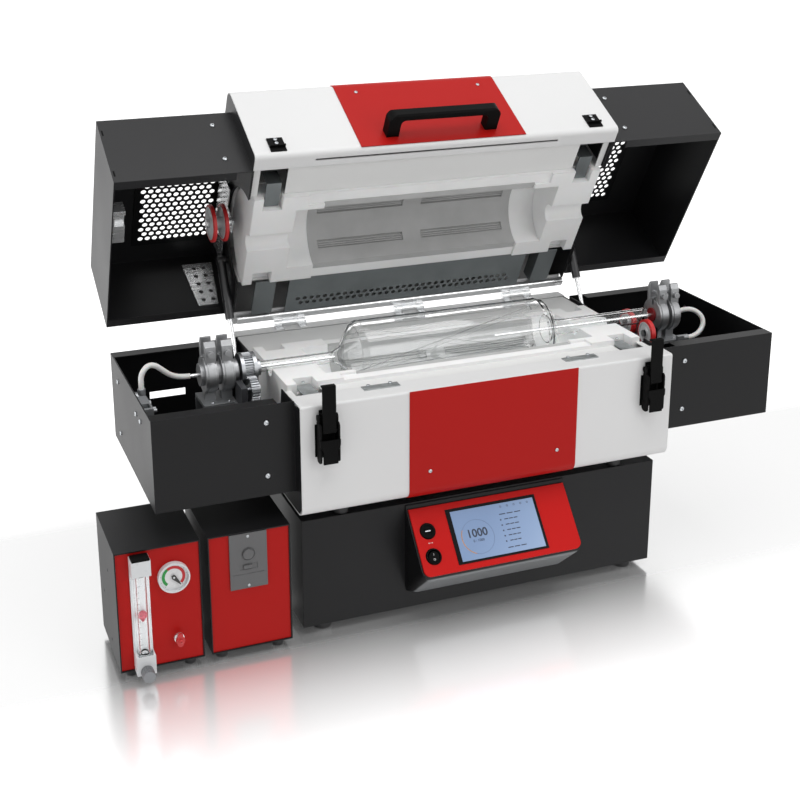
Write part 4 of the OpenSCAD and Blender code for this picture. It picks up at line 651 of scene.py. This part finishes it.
quartz = Finish("quartz", base_color=WHITE, roughness=0.02, transmission_weight=1.0, ior=1.46)
waves = quartz.noise(30, 2, (0.2, 1, 1))
quartz.surface(Normal=quartz.bump(waves, 0.0008, 0.3))
let_light_through(quartz, (0.93, 0.95, 0.95, 1))
quartz.dress("reaction_vessel")

# The gas struts: a polished rod sliding in a black painted barrel on each side, between a stud on the
# body and one on the lid.
strut_black = Finish("strut_black", base_color=colour("2a2a2c"), roughness=0.3)
strut_black.surface(Roughness=strut_black.noise(50, 3) * 0.15 + 0.22)
strut_black.dress("strut_barrels")

# The lid: the shell with its red cover plate, a moulded handle, hoods of dark sheet over both end
# boxes, grilles of pierced sheet in the hoods, and black tabs at the hoods' outer edges.
# the hoods' paint is a lighter copy of the boxes' black: a painted highlight for the lamp light on their tops
lit_hood_coat = powder_coat("black_paint_hood_lit", "1a1a1b", "242426", 0.4, specular_ior_level=0.24)
lit_hood_coat.dress("end_hoods")
black_coat.dress("hood_grilles")
black_moulding.dress("lid_handle")
HINGE, LID_OPEN = place(0, 198, 420), math.radians(-60.5)
lid_swing = Matrix.Translation(HINGE) @ Matrix.Rotation(LID_OPEN, 4, "X") @ Matrix.Translation(-HINGE)


def on_lid(x, y, z, direction):
    """A spot on the lid and the way it faces, given with the lid closed."""
    return lid_swing @ place(x, y, z), lid_swing.to_3x3() @ Vector(direction)


LID_EDGE, KEEPER_FRONT = 423, -208.4
fasten("lid_band_screws", "lid", zinc, small_head,
       [on_lid(s * BAND_SCREW_X, BAND_FRONT, 570, FRONT) for s in (-1, 1)])
fasten("keeper_rivets", "lid", zinc, small_head,
       [on_lid(s * LATCH_X, KEEPER_FRONT, LID_EDGE + z, FRONT) for s in (-1, 1) for z in (26.5, 35.5)])
fasten("hood_screws", "lid", zinc, wide_head,
       [on_lid(s * 374, BOX_FRONT, z, FRONT) for s in (-1, 1) for z in (458.5, 545.5)])
TAB_X, TAB_HALF = 0.5575, 0.0014
tabs = []
for s in (-1, 1):
    for z in (444, 545):
        tab = slab((s * TAB_X - TAB_HALF, -0.0004, -0.0065), (s * TAB_X + TAB_HALF, 0.0006, 0.0065), 0.0003)
        tabs.append(seat(tab, lid_swing @ Matrix.Translation(place(0, BOX_FRONT, z))))
done(joined(tabs), "hood_tabs", black_moulding, "lid")

# The gas module and the safety module: painted red panels in black cases. One panel carries a clear
# flowmeter with a float, a pressure gauge and a small tap, and the other carries a grey plate.
plate_grey = powder_coat("plate_grey", "5c5c5d", "666667", 0.42, 0.0006, specular_ior_level=0.3)
plate_grey.dress("switch_plate")
PLATE_MIDDLE, PLATE_FRONT = -424, -199
fasten("plate_screws", "furnace", zinc, tiny_head,
       [(place(PLATE_MIDDLE, PLATE_FRONT, z), FRONT) for z in (127, 212.5)])
plastic_white = Finish("fitting_white", base_color=colour("d5d7d9"), roughness=0.3)
plastic_white.surface(Roughness=plastic_white.noise(60, 3) * 0.15 + 0.22,
                      Normal=plastic_white.round_edges(0.0008)[0])
plastic_white.dress("flowmeter_body", "gauge_body")
bright.dress("valve_body")
acrylic = Finish("clear_acrylic", base_color=WHITE, roughness=0.03, transmission_weight=1.0, ior=1.18)
acrylic.surface(Normal=acrylic.bump(acrylic.noise(40, 2), 0.0003, 0.3))
let_light_through(acrylic, (0.95, 0.97, 0.97, 1))
acrylic.dress("flowmeter_tube")
pink = Finish("float_pink", base_color=colour("b04c5a"), roughness=0.35)
pink.surface(Base_Color=pink.mix(pink.noise(200, 2), colour("a64452"), colour("bd5a66")),
             Roughness=pink.noise(300, 2) * 0.2 + 0.28)
pink.dress("flow_float")
knob_grey = Finish("knob_grey", base_color=colour("7f8184"), metallic=0.6, roughness=0.4)
knob_grey.surface(Roughness=knob_grey.noise(300, 3) * 0.2 + 0.3, Normal=knob_grey.round_edges(0.0006)[0])
knob_grey.dress("flow_knob")
# the gauge's dial: paper with a green and a red band, and eleven ticks round from the green band's start
GAUGE = place(-544, -199, 166)
on_dial = Matrix.Translation(GAUGE) @ Matrix.Rotation(math.radians(90), 4, "X")
DIAL_START, DIAL_TURN, DIAL_END, TICKS, TICK_PITCH = 229, 124, -46, 11, 27.5
PAPER = 0.0002
for name, tint, inner, outer, sweep, rise in (
        ("dial_paper", "e9e9ea", 0.0018, 0.0222, (0, 360), 0),
        ("dial_green", "1d9440", 0.0138, 0.0185, (DIAL_TURN, DIAL_START), PAPER),
        ("dial_red", "c32026", 0.0138, 0.0185, (DIAL_END, DIAL_TURN), PAPER)):
    band = flat_ring(inner, outer, sweep, thick=PAPER)
    band.location = (0, 0, rise)
    done(seat(band, on_dial), name, ink(name, tint), "furnace")
ticks = []
for step in range(TICKS):
    angle = math.radians(DIAL_START - step * TICK_PITCH)
    tick = slab((0.0193, -0.00025, PAPER), (0.0212, 0.00025, 0.0003), 0.00004, 1)
    ticks.append(seat(tick, Matrix.Rotation(angle, 4, "Z")))
done(seat(joined(ticks), on_dial), "dial_ticks", ink("dial_ticks", "3a3a3c"), "furnace")
# the flowmeter's black cap, the two collars in its tube, 0.2 mm clear of the bore, and its scale,
# longer at each fifth line
FLOW_X, CAP_HALF = -597, 14
cap = [slab(place(FLOW_X - CAP_HALF, -220.5, 211.5), place(FLOW_X + CAP_HALF, -198.5, 215.5), 0.0012)]
for z in (50.2, 183.4):
    collar = flat_ring(0.0066, 0.0083, sides=40, thick=0.0014)
    collar.location = place(FLOW_X, -208, z)
    cap.append(collar)
done(joined(cap), "flowmeter_seals", black_moulding, "furnace")
SCALE_X, SCALE_FOOT, SCALE_PITCH, SCALE_LINES = -605, 70, 10, 11
scale = []
for row in range(SCALE_LINES):
    z, length = SCALE_FOOT + row * SCALE_PITCH, 5 if row % 5 == 0 else 3
    scale.append(slab(place(SCALE_X, -218.75, z), place(SCALE_X + length, -218.45, z + 0.6), 0.0001, 1))
done(joined(scale), "flowmeter_scale", ink("scale_print", "4a4a4c"), "furnace")
# dark plugs in the vents of the left case's wall, painted shade for the hollow behind them, at a depth and a
# height each
vent_shade_plugs = [slab(place(-633.9, y - 2, z - 8), place(-632.6, y + 2, z + 8), 0.0006)
         for y, z in ((-130, 160), (-82, 99), (-129, 37))]
done(joined(vent_shade_plugs), "case_vent_shade", black_moulding, "furnace")
needle_black = Finish("needle_black", base_color=colour("1a1a1a"), roughness=0.4)
needle_black.surface(Roughness=needle_black.noise(300, 2) * 0.1 + 0.35)
needle_black.dress("gauge_needle")
lever_red = Finish("lever_red", base_color=colour("c3282a"), roughness=0.35)
lever_red.surface(Roughness=lever_red.noise(200, 3) * 0.15 + 0.28, Normal=lever_red.round_edges(0.0006)[0])
lever_red.dress("valve_lever")
VALVE_SPINDLE = place(-540, -211, 58)
bodies = frame["record"]["behaviour"]["bodies"]
lever_body = next(body for body, nodes in bodies.items() if "valve_lever" in nodes)
fasten("valve_cap", lever_body, lever_red, cap_head, [(VALVE_SPINDLE, FRONT)])

# The studio: a pale floor that keeps a soft shadow and a faint reflection, a white surround and
# large soft lamps above, at the front and at the left.
bpy.ops.object.select_all(action="DESELECT")
bpy.ops.mesh.primitive_plane_add(size=60)
floor = bpy.context.object
floor.name = "studio_floor"
ground = Finish("studio_floor", base_color=(0.95, 0.95, 0.95, 1), roughness=0.2, emission_color=WHITE)


def looked_at(finish):
    """1 on the rays that see a surface, straight or by a mirror or glass, and 0 on those that light it."""
    ray = finish.node("ShaderNodeLightPath")
    return ray["Is Camera Ray"] + ray["Is Glossy Ray"] + ray["Is Transmission Ray"]


# the floor mirrors most under the furnace, and fades to plain white in front of it and behind it
seen = looked_at(ground)
depth = ground.node("ShaderNodeSeparateXYZ", {}, {0: ground.spot})["Y"]
near = ground.step(depth, -0.66, -0.24) * ground.step(depth, 0.5, 0.3)
ground.surface(Roughness=ground.noise(0.7, 2) * 0.02 + 0.17, Metallic=near * 0.75,
               Emission_Strength=seen * (0.62 - near * 0.58))
floor.data.materials.append(ground.material)


class Surround(Finish):
    """The white surround, which has its nodes on the world."""

    def __init__(self, name):
        self.world = bpy.data.worlds.new(name)
        self.world.use_nodes = True
        self.tree = self.world.node_tree
        self.shader = self.tree.nodes["Background"]


surround = Surround("studio")
scene.world = surround.world
shine = surround.node("ShaderNodeMapRange", {}, {"Value": looked_at(surround), "To Min": 0.38})
surround.surface(Color=WHITE, Strength=shine)
LAMPS_AIM = Vector((0, 0, 0.4))
for name, at, size, power in (("lamp_above", Vector((0.0, -0.6, 3.2)), 2.6, 59),
                              ("lamp_front", Vector((1.6, -3.0, 1.8)), 2.0, 26),
                              ("lamp_left", Vector((-3.0, 0.0, 1.2)), 1.8, 24)):
    lamp = bpy.data.objects.new(name, bpy.data.lights.new(name, "AREA"))
    lamp.data.size, lamp.data.energy = size, power
    facing = (LAMPS_AIM - at).to_track_quat("-Z", "Y").to_matrix().to_4x4()
    lamp.matrix_world = Matrix.Translation(at) @ facing
    scene.collection.objects.link(lamp)
scene.view_settings.view_transform = "Standard"

# The screw heads that the others were copied from go.
for model in (tiny_head, small_head, cap_head, wide_head):
    bpy.data.objects.remove(model)
